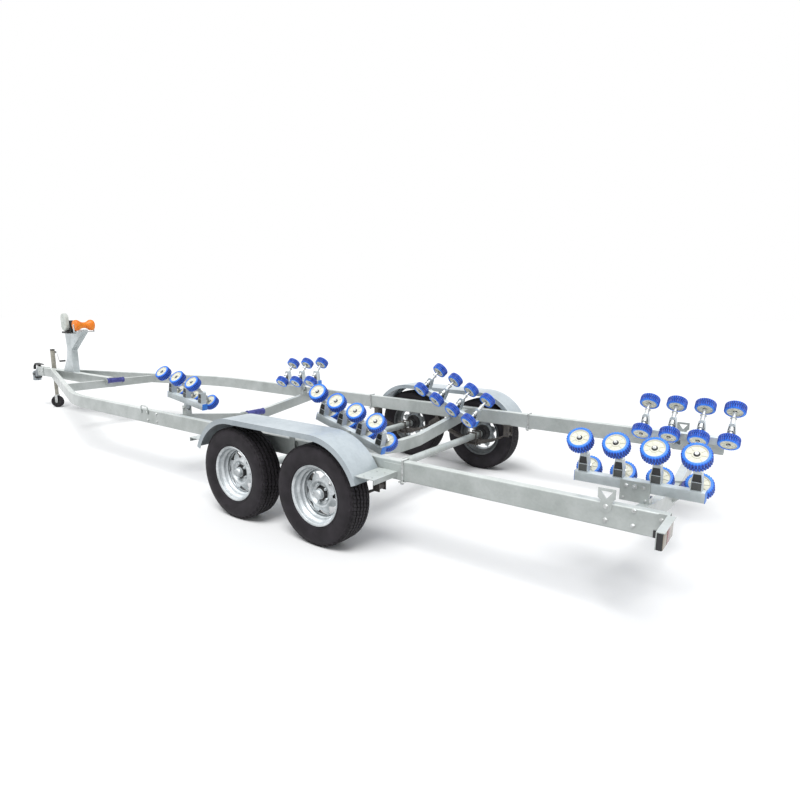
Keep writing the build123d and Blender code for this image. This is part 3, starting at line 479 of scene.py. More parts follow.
# Sections run as distance outboard of the wheel's middle and distance from its axis.
barrel_section = (
    (0.0752, 0.1950),
    (0.0777, 0.1928),
    (0.0768, 0.1870),
    (0.0738, 0.1815),
    (0.0700, 0.1775),
    (0.0480, 0.1762),
    (0.0430, 0.1735),
    (0.0390, 0.1665),
    (0.0345, 0.1625),
    (0.0180, 0.1615),
    (0.0120, 0.1585),
    (0.0070, 0.1520),
    (-0.0200, 0.1505),
    (-0.0340, 0.1520),
    (-0.0440, 0.1660),
    (-0.0500, 0.1745),
    (-0.0700, 0.1775),
    (-0.0738, 0.1815),
    (-0.0768, 0.1870),
    (-0.0777, 0.1928),
    (-0.0752, 0.1950),
)
sheet_gauge = 0.0032
disc_section = (
    (0.0040, 0.0500),
    (0.0040, 0.0560),
    (0.0040, 0.0660),
    (0.0065, 0.0705),
    (0.0190, 0.0760),
    (0.0240, 0.0800),
    (0.0258, 0.0850),
    (0.0240, 0.0905),
    (0.0200, 0.0960),
    (0.0165, 0.1020),
    (0.0140, 0.1090),
    (0.0110, 0.1180),
    (0.0080, 0.1270),
    (0.0055, 0.1350),
    (0.0030, 0.1420),
    (0.0000, 0.1470),
    (-0.0060, 0.1495),
    (-0.0150, 0.1500),
)
windows = 8
steps_per_window = 12
window_from = 0.1005
window_to = 0.1385
nut_circle = 0.0572
nuts = 5


def rim_barrel():
    bm = spun(barrel_section, 96, closed=False)
    bmesh.ops.solidify(bm, geom=bm.faces, thickness=sheet_gauge)
    bmesh.ops.recalc_face_normals(bm, faces=bm.faces)
    # Barrel faces behind the disc take the painted shade finish.
    for face in bm.faces:
        behind_disc = face.calc_center_median().y < disc_section[-1][0]
        face.material_index = 1 if behind_disc else 0
    return bm


def window_spread(out):
    """How wide a window is at one distance from the axis, as a share of its widest."""
    open_share = min(max((out - window_from) / (window_to - window_from), 0.0), 1.0)
    return 0.22 + 0.98 * open_share


def rim_disc():
    bm = spun(disc_section, windows * steps_per_window, closed=False)
    step = 2 * math.pi / (windows * steps_per_window)
    for corner in bm.verts:
        # Draw the middle columns of each window together towards its inner corner.
        out, turn = polar(corner.co)
        if window_from - 0.004 < out < window_to + 0.006:
            count = turn / step
            nearest = round(count / steps_per_window) * steps_per_window
            offset = count - nearest
            fade = max(0.0, 1.0 - max(abs(offset) - 4, 0) / 2)
            turn = (nearest + offset * (fade * window_spread(out) + 1 - fade)) * step
            corner.co.x = out * math.sin(turn)
            corner.co.z = out * math.cos(turn)
    opening = []
    for face in bm.faces:
        middle = face.calc_center_median()
        out, turn = polar(middle)
        count = turn / step
        offset = abs(count - round(count / steps_per_window) * steps_per_window)
        if window_from < out < window_to and offset < 4.6 * window_spread(out):
            opening.append(face)
    bmesh.ops.delete(bm, geom=opening, context="FACES")
    bmesh.ops.solidify(bm, geom=bm.faces, thickness=sheet_gauge)
    bmesh.ops.recalc_face_normals(bm, faces=bm.faces)
    return bm


def at(x, y, z):
    """A place that is only moved, not turned."""
    return Matrix.Translation((x, y, z))


def merge_into(bm, other, place=Matrix.Identity(4), material_index=0):
    """Add one mesh to another, moved into place, and free the first."""
    if material_index is not None:
        for face in other.faces:
            face.material_index = material_index
    bmesh.ops.transform(other, matrix=place, verts=other.verts)
    if place.to_3x3().determinant() < 0:
        bmesh.ops.reverse_faces(other, faces=other.faces)
    data = bpy.data.meshes.new("part")
    other.to_mesh(data)
    other.free()
    bm.from_mesh(data)
    bpy.data.meshes.remove(data)


def soften(bm, edges, offset, segments):
    """Round some edges."""
    bmesh.ops.bevel(
        bm,
        geom=edges,
        offset=offset,
        segments=segments,
        affect="EDGES",
        profile=0.5,
        material=-1,
    )


def hex_head(across, height, point=0.0):
    """A hexagon nut or bolt head along +Z with its top corners turned off."""
    bm = bmesh.new()
    bmesh.ops.create_cone(
        bm,
        cap_ends=True,
        segments=6,
        radius1=across / math.sqrt(3),
        radius2=across / math.sqrt(3),
        depth=height,
        matrix=at(0, 0, height / 2),
    )
    top = [edge for edge in bm.edges if all(v.co.z > height * 0.9 for v in edge.verts)]
    soften(bm, top, height * 0.14, 1)
    if point:
        end = bmesh.new()
        bmesh.ops.create_cone(
            end,
            cap_ends=True,
            segments=14,
            radius1=across * 0.30,
            radius2=across * 0.26,
            depth=point,
            matrix=at(0, 0, height + point / 2),
        )
        merge_into(bm, end)
    return bm


def facing_out(x, y):
    """A wheel's place, with its own axis pointing out of the trailer."""
    place = at(x, y, axle_height)
    return place @ Matrix.Rotation(math.pi, 4, "Z") if y < 0 else place


for axle, hand, x, y in wheel_places:
    outboard = facing_out(x, y)
    bm = bmesh.new()
    merge_into(bm, rim_barrel(), outboard, None)
    merge_into(bm, rim_disc(), outboard)
    for number in range(nuts):
        turn = Matrix.Rotation(2 * math.pi * (number + 0.3) / nuts, 4, "Y")
        seat = turn @ at(0, 0.0050, nut_circle)
        seat = seat @ Matrix.Rotation(-math.pi / 2, 4, "X")
        merge_into(bm, hex_head(0.0190, 0.0150, 0.006), outboard @ seat)
    rim = new_piece(
        f"wheel_rim_{axle}_{hand}", bm, [rim_zinc, well_shade_zinc], f"wheel_{axle}_{hand}"
    )
    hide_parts(f"rim_{axle}_{hand}")

# ---------------------------------------------------------------- hubs
# Cast hub, painted black, with the bearing housing standing through the rim's bore and a
# pressed bright dust cap tapped into its end.
hub_section = (
    (-0.0560, 0.0215),
    (-0.0560, 0.0400),
    (-0.0530, 0.0450),
    (-0.0260, 0.0480),
    (-0.0180, 0.0560),
    (-0.0150, 0.0745),
    (-0.0030, 0.0750),
    (-0.0010, 0.0730),
    (-0.0005, 0.0500),
    (0.0040, 0.0440),
    (0.0200, 0.0410),
    (0.0215, 0.0390),
    (0.0215, 0.0215),
)
cap_section = (
    (0.0190, 0.0215),
    (0.0190, 0.0345),
    (0.0230, 0.0350),
    (0.0240, 0.0325),
    (0.0380, 0.0315),
    (0.0455, 0.0290),
    (0.0500, 0.0230),
    (0.0520, 0.0140),
    (0.0525, 0.0020),
)
for axle, hand, x, y in wheel_places:
    outboard = facing_out(x, y)
    bm = bmesh.new()
    merge_into(bm, spun(hub_section, 48), outboard)
    cap = spun(cap_section, 40, closed=False)
    bmesh.ops.holes_fill(cap, edges=[e for e in cap.edges if e.is_boundary], sides=0)
    bmesh.ops.recalc_face_normals(cap, faces=cap.faces)
    merge_into(bm, cap, outboard, 1)
    new_piece(
        f"wheel_hub_{axle}_{hand}",
        bm,
        [hub_black_and_shade, rim_zinc],
        f"wheel_{axle}_{hand}",
    )

# ---------------------------------------------------------------- bank rollers
# Moulded polyurethane in one blue piece with a ribbed tread and a smooth raised face
# ring, pressed over a cream nylon hub. Each is held on its shaft by a small capped nut.
def glowing(finish, weight, radius, scale):
    """Let light soak a little way into a finish."""
    set_inputs(
        finish.node_tree.nodes["Principled BSDF"],
        {"Subsurface Weight": weight, "Subsurface Radius": radius, "Subsurface Scale": scale},
    )


blue = mottled(
    "roller_blue", 0.42, (0.012, 0.115, 0.66), (0.032, 0.205, 0.92), 22.0, 3.0, (0.35, 0.70)
)
glowing(blue, 0.15, (0.1, 0.3, 1.0), 0.004)
grained(blue, 300.0, 0.15)

# Rib grooves are painted darker as painted shade, and face rings paler as painted light.
groove_shade_blue = toned(blue, "groove_shade_blue", (0.005, 0.028, 0.24), (0.009, 0.058, 0.38))
ring_lit_blue = toned(blue, "ring_lit_blue", (0.030, 0.200, 0.80), (0.060, 0.300, 0.95))

cream = mottled("hub_cream", 0.5, (0.66, 0.65, 0.53), (0.86, 0.86, 0.76), 30.0)

bright_zinc = zinc_coat(
    "bright_zinc", (0.38, 0.39, 0.38), (0.74, 0.76, 0.76), crystal=260.0, cloud=40.0, metal=0.8
)

# bank, pivot, channel above the pivot, rows and their pitch, then for the left and the
# right side how far the front is tipped up at rest and how far the shafts lean
bank_places = (
    ("rear", (-4.1375, 0.650, 0.6117), 0.0, 4, 0.175, (0.0, 46.0), (0.0, 46.0)),
    ("middle", (-2.2690, 0.655, 0.6208), 0.0, 4, 0.175, (16.0, 43.0), (25.0, 42.0)),
    ("forward", (-0.4310, 0.700, 0.6012), 0.062, 3, 0.214, (7.5, 45.5), (-4.5, 44.0)),
)
shaft_height = 0.113
shaft_reach = 0.128
rib_count = 30
rib_depth = 0.0034
roller_section = (
    (0.0290, 0.0490),
    (0.0290, 0.0560),
    (0.0278, 0.0605),
    (0.0235, 0.0642),
    (0.0190, 0.0650),
    (0.0015, 0.0650),
    (0.0000, 0.0643),
    (-0.0015, 0.0650),
    (-0.0190, 0.0650),
    (-0.0235, 0.0642),
    (-0.0278, 0.0605),
    (-0.0290, 0.0560),
    (-0.0290, 0.0490),
    (-0.0270, 0.0478),
    (0.0270, 0.0478),
)
hub_spokes = 8
roller_hub_half_section = (
    (0.0262, 0.0480),
    (0.0262, 0.0455),
    (0.0190, 0.0435),
    (0.0190, 0.0215),
    (0.0235, 0.0200),
    (0.0235, 0.0105),
)


def round_box(size, centre, radius=0.002, steps=2):
    """A box with rounded edges."""
    bm = bmesh.new()
    bmesh.ops.create_cube(bm, size=1.0)
    bmesh.ops.scale(bm, vec=size, verts=bm.verts)
    if radius:
        soften(bm, bm.edges, radius, steps)
    bmesh.ops.translate(bm, vec=centre, verts=bm.verts)
    return bm


def roller_mesh():
    """One roller with its axis along Z: blue tyre, cream hub, nuts and washers."""
    rim = spun(roller_section, 4 * rib_count)
    for corner in rim.verts:
        # The ribs on the two halves of the tread stand half a rib apart.
        out, turn = polar(corner.co)
        count = round(turn * 2 * rib_count / math.pi)
        shifted = count + (2 if corner.co.y > 0 else 0)
        if out > 0.0600 and shifted % 4 >= 2:
            groove = (out - rib_depth) / out
            corner.co.x *= groove
            corner.co.z *= groove
    # Face rings take the painted light finish and groove floors the painted shade finish.
    for face in rim.faces:
        middle = face.calc_center_median()
        out = polar(middle)[0]
        if abs(middle.y) > 0.0277 and out > 0.049:
            face.material_index = 4
        elif 0.0600 < out < 0.0645 - rib_depth / 3 and abs(middle.y) < 0.0235:
            face.material_index = 3
    bm = bmesh.new()
    upright = Matrix.Rotation(math.pi / 2, 4, "X")
    merge_into(bm, rim, upright, None)
    merge_into(bm, spun(both_halves(roller_hub_half_section), 40), upright, 1)
    for spoke in range(hub_spokes):
        for end in (1, -1):
            rib = round_box((0.0220, 0.0026, 0.0040), (0.0325, 0, end * 0.0205), 0)
            turn = Matrix.Rotation(2 * math.pi * spoke / hub_spokes, 4, "Z")
            merge_into(bm, rib, turn, 1)
    for end in (1, -1):
        seat = at(0, 0, end * 0.0235)
        if end < 0:
            seat = seat @ Matrix.Rotation(math.pi, 4, "X")
        washer = bmesh.new()
        bmesh.ops.create_cone(
            washer,
            cap_ends=True,
            segments=24,
            radius1=0.0140,
            radius2=0.0135,
            depth=0.0024,
            matrix=at(0, 0, 0.0012),
        )
        # The black washer stands for painted shade in the recess round the nut.
        merge_into(bm, washer, seat, 5)
        merge_into(bm, hex_head(0.0160, 0.0080, 0.004), seat @ at(0, 0, 0.002), 2)
    return bm


def banks():
    """Each bank's name, hand, rest pose, shaft lean, channel height, rows and pitch."""
    for bank, pivot, channel_z, rows, row_pitch, *rests in bank_places:
        for hand, side, (tip_up, shaft_lean) in zip(("left", "right"), (1, -1), rests):
            # X runs along the channel and Z up from the pivot.
            pose = at(pivot[0], side * pivot[1], pivot[2])
            pose = pose @ Matrix.Rotation(-math.radians(tip_up), 4, "Y")
            lean = Matrix.Rotation(math.radians(-side * (90 - shaft_lean)), 4, "X")
            yield bank, hand, pose, lean, channel_z, rows, row_pitch


roller_pattern = bpy.data.meshes.new("roller_pattern")
pattern = roller_mesh()
pattern.to_mesh(roller_pattern)
pattern.free()
for bank, hand, pose, lean, channel_z, rows, row_pitch in banks():
    bm = bmesh.new()
    for row in range(rows):
        row_x = (row - (rows - 1) / 2) * row_pitch
        on_shaft = pose @ at(row_x, 0, channel_z + shaft_height) @ lean
        for end in (1, -1):
            copy = bmesh.new()
            copy.from_mesh(roller_pattern)
            turn = Matrix.Rotation(1.3 * row + 0.7 * end, 4, "Z")
            merge_into(bm, copy, on_shaft @ at(0, 0, end * shaft_reach) @ turn, None)
    piece = new_piece(
        f"rollers_{bank}_{hand}",
        bm,
        [blue, cream, bright_zinc, groove_shade_blue, ring_lit_blue, hub_black_and_shade],
        f"bank_{bank}_{hand}",
    )
    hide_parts(f"bank_rollers_{bank}_{hand}")

# ---------------------------------------------------------------- bank frames
# A box channel with blue plastic plugs in its ends. On it stand welded saddles of folded
# strap, each with two open cells, and the zinc plated shafts pass through their tops.
plug_blue = mottled("plug_blue", 0.4, (0.018, 0.150, 0.600), (0.040, 0.240, 0.780), 60.0)

cell_shadow = zinc_coat(
    "cell_shadow", (0.045, 0.050, 0.048), (0.085, 0.090, 0.088), metal=0.1, relief=0.3
)


def box_tube(length, width, height, wall, corner):
    """Open-ended box tube along X with rounded corners."""
    bm = bmesh.new()
    bmesh.ops.create_cube(bm, size=1.0)
    bmesh.ops.scale(bm, vec=(length, width, height), verts=bm.verts)
    long_edges = [e for e in bm.edges if abs(e.verts[0].co.x - e.verts[1].co.x) > length / 2]
    soften(bm, long_edges, corner, 4)
    ends = [f for f in bm.faces if abs(f.normal.x) > 0.9]
    bmesh.ops.delete(bm, geom=ends, context="FACES")
    bmesh.ops.solidify(bm, geom=bm.faces, thickness=wall)
    bmesh.ops.recalc_face_normals(bm, faces=bm.faces)
    return bm


def rod(radius, length, segments=24, edge=0.0):
    """A round bar along Z about the origin."""
    bm = bmesh.new()
    bmesh.ops.create_cone(
        bm, cap_ends=True, segments=segments, radius1=radius, radius2=radius, depth=length
    )
    if edge:
        rims = [e for e in bm.edges if abs(e.verts[0].co.z - e.verts[1].co.z) < 1e-6]
        soften(bm, rims, edge, 2)
    return bm


def cut_plate(outlines, thickness):
    """A flat plate in XZ with holes, thickened along +Y from y = 0."""
    bm = bmesh.new()
    edges = []
    for outline in outlines:
        corners = [bm.verts.new((x, 0, z)) for x, z in outline]
        for first, second in zip(corners, corners[1:] + corners[:1]):
            edges.append(bm.edges.new((first, second)))
    bmesh.ops.triangle_fill(bm, use_beauty=True, edges=edges)
    raised = bmesh.ops.extrude_face_region(bm, geom=bm.faces[:])
    moved = [v for v in raised["geom"] if isinstance(v, bmesh.types.BMVert)]
    bmesh.ops.translate(bm, vec=(0, thickness, 0), verts=moved)
    bmesh.ops.recalc_face_normals(bm, faces=bm.faces)
    return bm


# Outline of a saddle and of its two cells, seen along the shaft's own plane.
saddle_outline = (
    (-0.0240, 0.027),
    (0.0240, 0.027),
    (0.0240, 0.076),
    (0.0185, 0.108),
    (0.0185, 0.118),
    (0.0100, 0.128),
    (-0.0100, 0.128),
    (-0.0185, 0.118),
    (-0.0185, 0.108),
    (-0.0240, 0.076),
)
lower_cell = ((-0.0212, 0.030), (0.0212, 0.030), (0.0212, 0.067), (-0.0212, 0.067))
upper_cell = ((-0.0212, 0.070), (0.0212, 0.070), (0.0160, 0.108), (-0.0160, 0.108))

for bank, hand, pose, lean, channel_z, rows, row_pitch in banks():
    channel_length = (rows - 1) * row_pitch + 0.080
    pose = pose @ at(0, 0, channel_z)
    bm = bmesh.new()
    merge_into(bm, box_tube(channel_length, 0.050, 0.054, 0.004, 0.007), pose)
    for end in (1, -1):
        plug = round_box((0.0030, 0.051, 0.055), (end * (channel_length / 2 + 0.001), 0, 0))
        merge_into(bm, plug, pose, 2)
    for row in range(rows):
        row_x = (row - (rows - 1) / 2) * row_pitch
        at_row = pose @ at(row_x, 0, 0)
        plate = cut_plate((saddle_outline, lower_cell, upper_cell), 0.050)
        merge_into(bm, plate, at_row @ at(0, -0.025, 0))
        # Dark boxes fill the cells as painted shade, the upper one in black.
        for shade, size, height in (
            (3, (0.0416, 0.0440, 0.0362), 0.0485),
            (4, (0.0370, 0.0440, 0.0370), 0.0890),
        ):
            merge_into(bm, round_box(size, (0, 0, height), 0), at_row, shade)
        on_shaft = at_row @ at(0, 0, shaft_height) @ lean
        merge_into(bm, rod(0.0100, 2 * shaft_reach + 0.048), on_shaft, 1)
        merge_into(bm, rod(0.0150, 0.100, 28, 0.002), on_shaft, 1)
        for end in (1, -1):
            for out, radius, depth in ((0.052, 0.0200, 0.004), (0.096, 0.0165, 0.003)):
                collar = rod(radius, depth, 24, 0.001)
                merge_into(bm, collar, on_shaft @ at(0, 0, end * out), 1)
    if channel_z:
        lug = round_box((0.036, 0.036, 0.040), (0, 0, -channel_z + 0.018), 0.002)
        merge_into(bm, lug, pose)
        heel = rod(0.018, 0.036, 28, 0.001)
        turned = at(0, 0, -channel_z) @ Matrix.Rotation(math.pi / 2, 4, "X")
        merge_into(bm, heel, pose @ turned)
    piece = new_piece(
        f"frame_{bank}_{hand}",
        bm,
        [sheet_zinc, bright_zinc, plug_blue, cell_shadow, hub_black_and_shade],
        f"bank_{bank}_{hand}",
    )
    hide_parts(f"bank_frame_{bank}_{hand}")

# ---------------------------------------------------------------- keel rollers
# Dark blue rubber rollers with fine ribs along them and a plain flange at each end, each
# turning on a plain steel pin.
keel_rubber = mottled(
    "keel_rubber", 0.5, (0.020, 0.022, 0.150), (0.085, 0.095, 0.360), 35.0, 4.0, (0.3, 0.75)
)

keel_places = (
    ("rear", -4.254, 0.435),
    ("forward", -0.484, 0.455),
    ("front", 2.131, 0.560),
)
keel_half_section = (
    (0.1000, 0.0081),
    (0.1000, 0.0300),
    (0.0985, 0.0318),
    (0.0900, 0.0318),
    (0.0880, 0.0300),
    (0.0780, 0.0285),
    (0.0770, 0.0270),
    (0.0735, 0.0270),
    (0.0725, 0.0285),
    (0.0020, 0.0290),
    (0.0012, 0.0275),
)
keel_ribs = 24
for name, x, z in keel_places:
    bm = spun(both_halves(keel_half_section), 2 * keel_ribs)
    for corner in bm.verts:
        out, turn = polar(corner.co)
        count = round(turn * keel_ribs / math.pi)
        if 0.0280 < out < 0.0295 and count % 2:
            corner.co.x *= 0.95
            corner.co.z *= 0.95
    bmesh.ops.translate(bm, vec=(x, 0, z), verts=bm.verts)
    piece = new_piece(
        f"keel_tread_{name}", bm, [keel_rubber], f"keel_roller_{name}_body"
    )
    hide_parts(f"keel_roller_{name}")

# ---------------------------------------------------------------- bow roller
# One orange polyurethane moulding with two round bells and a waist for the boat's stem.
orange = mottled(
    "bow_orange", 0.45, (0.72, 0.165, 0.002), (0.90, 0.260, 0.006), 12.0, 2.0, (0.3, 0.7)
)
glowing(orange, 0.2, (1.0, 0.3, 0.1), 0.006)
bow_place = (2.824, 0, 1.215)
bow_half_section = (
    (0.1200, 0.0101),
    (0.1200, 0.0560),
    (0.1170, 0.0615),
    (0.1090, 0.0665),
    (0.1000, 0.0692),
    (0.0900, 0.0700),
    (0.0800, 0.0690),
    (0.0700, 0.0660),
    (0.0600, 0.0600),
    (0.0480, 0.0510),
    (0.0340, 0.0430),
    (0.0200, 0.0385),
    (0.0080, 0.0370),
)
bm = spun(both_halves(bow_half_section), 64)
bmesh.ops.translate(bm, vec=bow_place, verts=bm.verts)
piece = new_piece("bow_cushion", bm, [orange], "bow_roller_body")
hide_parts("bow_roller")

# ---------------------------------------------------------------- winch
# Black powder coated cheeks and a drum wound with strap, bolted on the post's top plate.
# A light grey moulded cover shaped like a capsule closes the gears on the left cheek.
black_coat = mottled("black_coat", 0.45, (0.008, 0.008, 0.008), (0.030, 0.030, 0.030), 90.0)
grained(black_coat, 90.0, 0.2)

cover_plastic = mottled(
    "cover_plastic", 0.5, (0.44, 0.47, 0.44), (0.62, 0.65, 0.61), 18.0, 5.0, (0.3, 0.7)
)

webbing = mottled("webbing", 0.85, (0.010, 0.010, 0.010), (0.050, 0.048, 0.044), 160.0, bands="Y")

winch_x = 3.189
winch_base = 1.100
drum_height = 1.165
cheek_y = 0.034
cheek_reach = 0.080
cheek_hole = 0.058


def rounded_corners(x0, x1, z0, z1, radius, steps=6):
    """Outline of a rectangle with rounded corners."""
    points = []
    middles = (
        (x1 - radius, z1 - radius, 0),
        (x0 + radius, z1 - radius, 90),
        (x0 + radius, z0 + radius, 180),
        (x1 - radius, z0 + radius, 270),
    )
    for middle_x, middle_z, start in middles:
        for step in range(steps + 1):
            turn = math.radians(start + 90 * step / steps)
            points.append((middle_x + radius * math.cos(turn), middle_z + radius * math.sin(turn)))
    return points


def ring_points(x, z, radius, count=24):
    """Outline of a round hole."""
    turns = [2 * math.pi * step / count for step in range(count)]
    return [(x + radius * math.cos(turn), z + radius * math.sin(turn)) for turn in turns]


def across_y(x, y, z, end=1):
    """A place whose Z axis points along +Y, or along -Y at the other end."""
    return at(x, y, z) @ Matrix.Rotation(-end * math.pi / 2, 4, "X")


bm = bmesh.new()
merge_into(bm, round_box((0.170, 0.076, 0.006), (winch_x, 0, winch_base + 0.003)))
merge_into(bm, round_box((0.150, 0.047, 0.024), (winch_x, 0.0600, winch_base + 0.014)))
merge_into(bm, round_box((0.070, 0.062, 0.060), (winch_x - 0.030, 0, 1.2400), 0.012, 3))
for end in (1, -1):
    cheek = cut_plate(
        (
            rounded_corners(
                winch_x - cheek_reach, winch_x + cheek_reach, winch_base, winch_base + 0.120, 0.030
            ),
            ring_points(winch_x - cheek_hole, winch_base + 0.090, 0.009),
            ring_points(winch_x + cheek_hole, winch_base + 0.090, 0.009),
        ),
        0.006,
    )
    merge_into(bm, cheek, at(0, end * cheek_y - 0.003, 0))
    bearing = rod(0.016, 0.010, 24, 0.001)
    merge_into(bm, bearing, across_y(winch_x, end * (cheek_y + 0.006), drum_height), 2)
    merge_into(bm, hex_head(0.019, 0.007), across_y(winch_x, end * 0.043, drum_height, end), 2)
strap_section = (
    (0.0300, 0.0120),
    (0.0300, 0.0500),
    (0.0285, 0.0525),
    (0.0100, 0.0535),
    (-0.0100, 0.0530),
    (-0.0285, 0.0525),
    (-0.0300, 0.0500),
    (-0.0300, 0.0120),
)
strap_roll = spun(strap_section, 40)
merge_into(bm, strap_roll, at(winch_x, 0, drum_height), 1)
for x in (-0.068, 0.068):
    for y in (-0.024, 0.024):
        seat = at(winch_x + x, y, winch_base + 0.006)
        merge_into(bm, hex_head(0.013, 0.008), seat, 2)
piece = new_piece("winch_frame", bm, [black_coat, webbing, bright_zinc], "frame")
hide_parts("winch")


def capsule(x, z, radius, half_straight, steps=16):
    """Outline of an upright slot with round ends."""
    points = []
    for start, middle_z in ((0, z + half_straight), (180, z - half_straight)):
        for step in range(steps + 1):
            turn = math.radians(start + 180 * step / steps)
            points.append((x + radius * math.cos(turn), middle_z + radius * math.sin(turn)))
    return points


cover_x = 3.204
cover_z = 1.246
cover_depth = 0.046
bolt_pitch = 0.066
bm = cut_plate((capsule(cover_x, cover_z, 0.0700, 0.0440),), cover_depth)
outer_rim = [
    e
    for e in bm.edges
    if all(v.co.y > cover_depth - 0.001 for v in e.verts) and e.calc_face_angle(0) > 1
]
soften(bm, outer_rim, 0.012, 5)
bmesh.ops.translate(bm, vec=(0, 0.037, 0), verts=bm.verts)
for z in (cover_z - bolt_pitch, cover_z, cover_z + bolt_pitch):
    merge_into(bm, hex_head(0.010, 0.004), across_y(cover_x, 0.0815, z), 1)
piece = new_piece("gear_cover", bm, [cover_plastic, bright_zinc], "frame")
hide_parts("winch_cover")

# ---------------------------------------------------------------- jack
# A side-wound jockey jack in dull yellowish zinc, clamped to the drawbar's right side. A
# black cap closes its tube, and a plated crank with a black grip winds it.
jack_zinc = zinc_coat(
    "jack_zinc", (0.22, 0.21, 0.17), (0.40, 0.385, 0.33), crystal=150.0, cloud=16.0
)
jack_x = 4.029
jack_y = -0.090
bm = bmesh.new()
merge_into(bm, rod(0.0290, 0.445, 36, 0.003), at(jack_x, jack_y, 0.6225))
merge_into(bm, rod(0.0300, 0.022, 36, 0.004), at(jack_x, jack_y, 0.8340), 1)
merge_into(bm, rod(0.0296, 0.012, 36, 0.002), at(jack_x, jack_y, 0.4060), 1)
for z in (0.495, 0.555):
    merge_into(bm, rod(0.0375, 0.012, 36, 0.002), at(jack_x, jack_y, z))
merge_into(bm, rod(0.0345, 0.070, 36, 0.001), at(jack_x, jack_y, 0.525))
merge_into(bm, round_box((0.060, 0.048, 0.068), (jack_x, -0.0650, 0.525), 0.003))
for z in (0.507, 0.543):
    bolt = at(jack_x - 0.030, -0.0600, z) @ Matrix.Rotation(-math.pi / 2, 4, "Y")
    merge_into(bm, hex_head(0.013, 0.006), bolt, 2)
crank_height = 0.800
crank_length = 0.141
grip_length = 0.080
merge_into(bm, rod(0.0085, 0.040, 20, 0.001), across_y(jack_x, -0.1330, crank_height), 2)
merge_into(bm, rod(0.0170, 0.009, 24, 0.002), across_y(jack_x, -0.1235, crank_height), 1)
crank_swing = math.radians(-67)
arm_place = across_y(jack_x, -0.1490, crank_height) @ Matrix.Rotation(crank_swing, 4, "Z")
arm = round_box((crank_length, 0.0150, 0.0050), (-crank_length / 2, 0, 0.003), 0.002)
merge_into(bm, arm, arm_place, 2)
merge_into(bm, rod(0.0095, 0.006, 20, 0.001), arm_place @ at(0, 0, 0.003), 2)
grip = at(-crank_length, 0, -grip_length / 2)
merge_into(bm, rod(0.0120, grip_length, 24, 0.004), arm_place @ grip, 1)
for ring in range(6):
    groove = at(-crank_length, 0, -0.0120 - 0.011 * ring)
    merge_into(bm, rod(0.0128, 0.003, 24, 0.001), arm_place @ groove, 1)
piece = new_piece("jack_body", bm, [jack_zinc, black_coat, bright_zinc], "frame")
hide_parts("jack_tube")
give("jack_leg", jack_zinc)
give("jack_fork", bright_zinc)

# ---------------------------------------------------------------- jack wheel
# A solid black rubber tyre with two tread ridges, moulded round a black plastic centre
# that has six webs on each face. It runs in a pressed and plated fork.
jack_rubber = rubber.copy()
jack_rubber.name = "jack_rubber"
jack_turn = math.radians(40)
jack_tyre_half_section = (
    (0.0240, 0.0560),
    (0.0245, 0.0680),
    (0.0225, 0.0770),
    (0.0170, 0.0830),
    (0.0110, 0.0845),
    (0.0090, 0.0815),
    (0.0050, 0.0815),
    (0.0035, 0.0849),
)
jack_centre_half_section = (
    (0.0220, 0.0562),
    (0.0220, 0.0520),
    (0.0120, 0.0500),
    (0.0120, 0.0200),
    (0.0240, 0.0185),
    (0.0240, 0.0090),
)
at_hub = at(jack_x, jack_y, 0.085) @ Matrix.Rotation(jack_turn, 4, "Z")
bm = bmesh.new()
merge_into(bm, spun(both_halves(jack_tyre_half_section), 64), at_hub)
merge_into(bm, spun(both_halves(jack_centre_half_section), 48), at_hub, 1)
for web in range(6):
    for end in (1, -1):
        rib = round_box((0.0310, 0.0080, 0.0040), (0.0350, end * 0.0155, 0), 0)
        merge_into(bm, rib, at_hub @ Matrix.Rotation(math.pi * web / 3, 4, "Y"), 1)
piece = new_piece("jack_tyre", bm, [jack_rubber, black_coat], "jack_road_wheel")
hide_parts("jack_wheel")

# ---------------------------------------------------------------- coupling
# Pressed zinc plated housing over the tow ball, bolted to a sleeve round the drawbar. The
# black release lever arches over its top and a black catch hangs at its nose.
coupling_zinc = zinc_coat(
    "coupling_zinc", (0.15, 0.175, 0.19), (0.33, 0.37, 0.395), crystal=120.0, cloud=16.0, metal=0.6
)
sleeve_start = 4.063
sleeve_end = 4.244
drawbar_height = 0.528
ball_middle = (4.410, 0.0, 0.450)
lever_pivot = 4.300
bm = bmesh.new()
sleeve = box_tube(sleeve_end - sleeve_start, 0.0915, 0.1250, 0.004, 0.007)
merge_into(bm, sleeve, at((sleeve_end + sleeve_start) / 2, 0, drawbar_height - 0.0005))
for x in (4.105, 4.195):
    for side in (1, -1):
        seat = across_y(x, side * 0.0455, drawbar_height, side)
        merge_into(bm, hex_head(0.019, 0.008, 0.004), seat, 2)
neck = bmesh.new()
bmesh.ops.create_cube(neck, size=1.0)
for corner in neck.verts:
    if corner.co.x > 0:
        corner.co = (4.385, math.copysign(0.043, corner.co.y), 0.462 + 0.084 * corner.co.z)
    else:
        height = drawbar_height + 0.124 * corner.co.z
        corner.co = (sleeve_end - 0.004, math.copysign(0.044, corner.co.y), height)
soften(neck, neck.edges, 0.010, 3)
merge_into(bm, neck, material_index=3)
head_section = (
    (-0.0690, 0.0260),
    (-0.0720, 0.0400),
    (-0.0720, 0.0490),
    (-0.0640, 0.0545),
    (-0.0520, 0.0530),
    (-0.0480, 0.0500),
    (0.0240, 0.0500),
    (0.0300, 0.0530),
    (0.0400, 0.0530),
    (0.0520, 0.0470),
    (0.0640, 0.0340),
    (0.0710, 0.0150),
    (0.0715, 0.0030),
    (0.0300, 0.0030),
    (0.0050, 0.0258),
    (-0.0300, 0.0260),
)
head = Matrix.Translation(ball_middle) @ Matrix.Rotation(math.pi / 2, 4, "X")
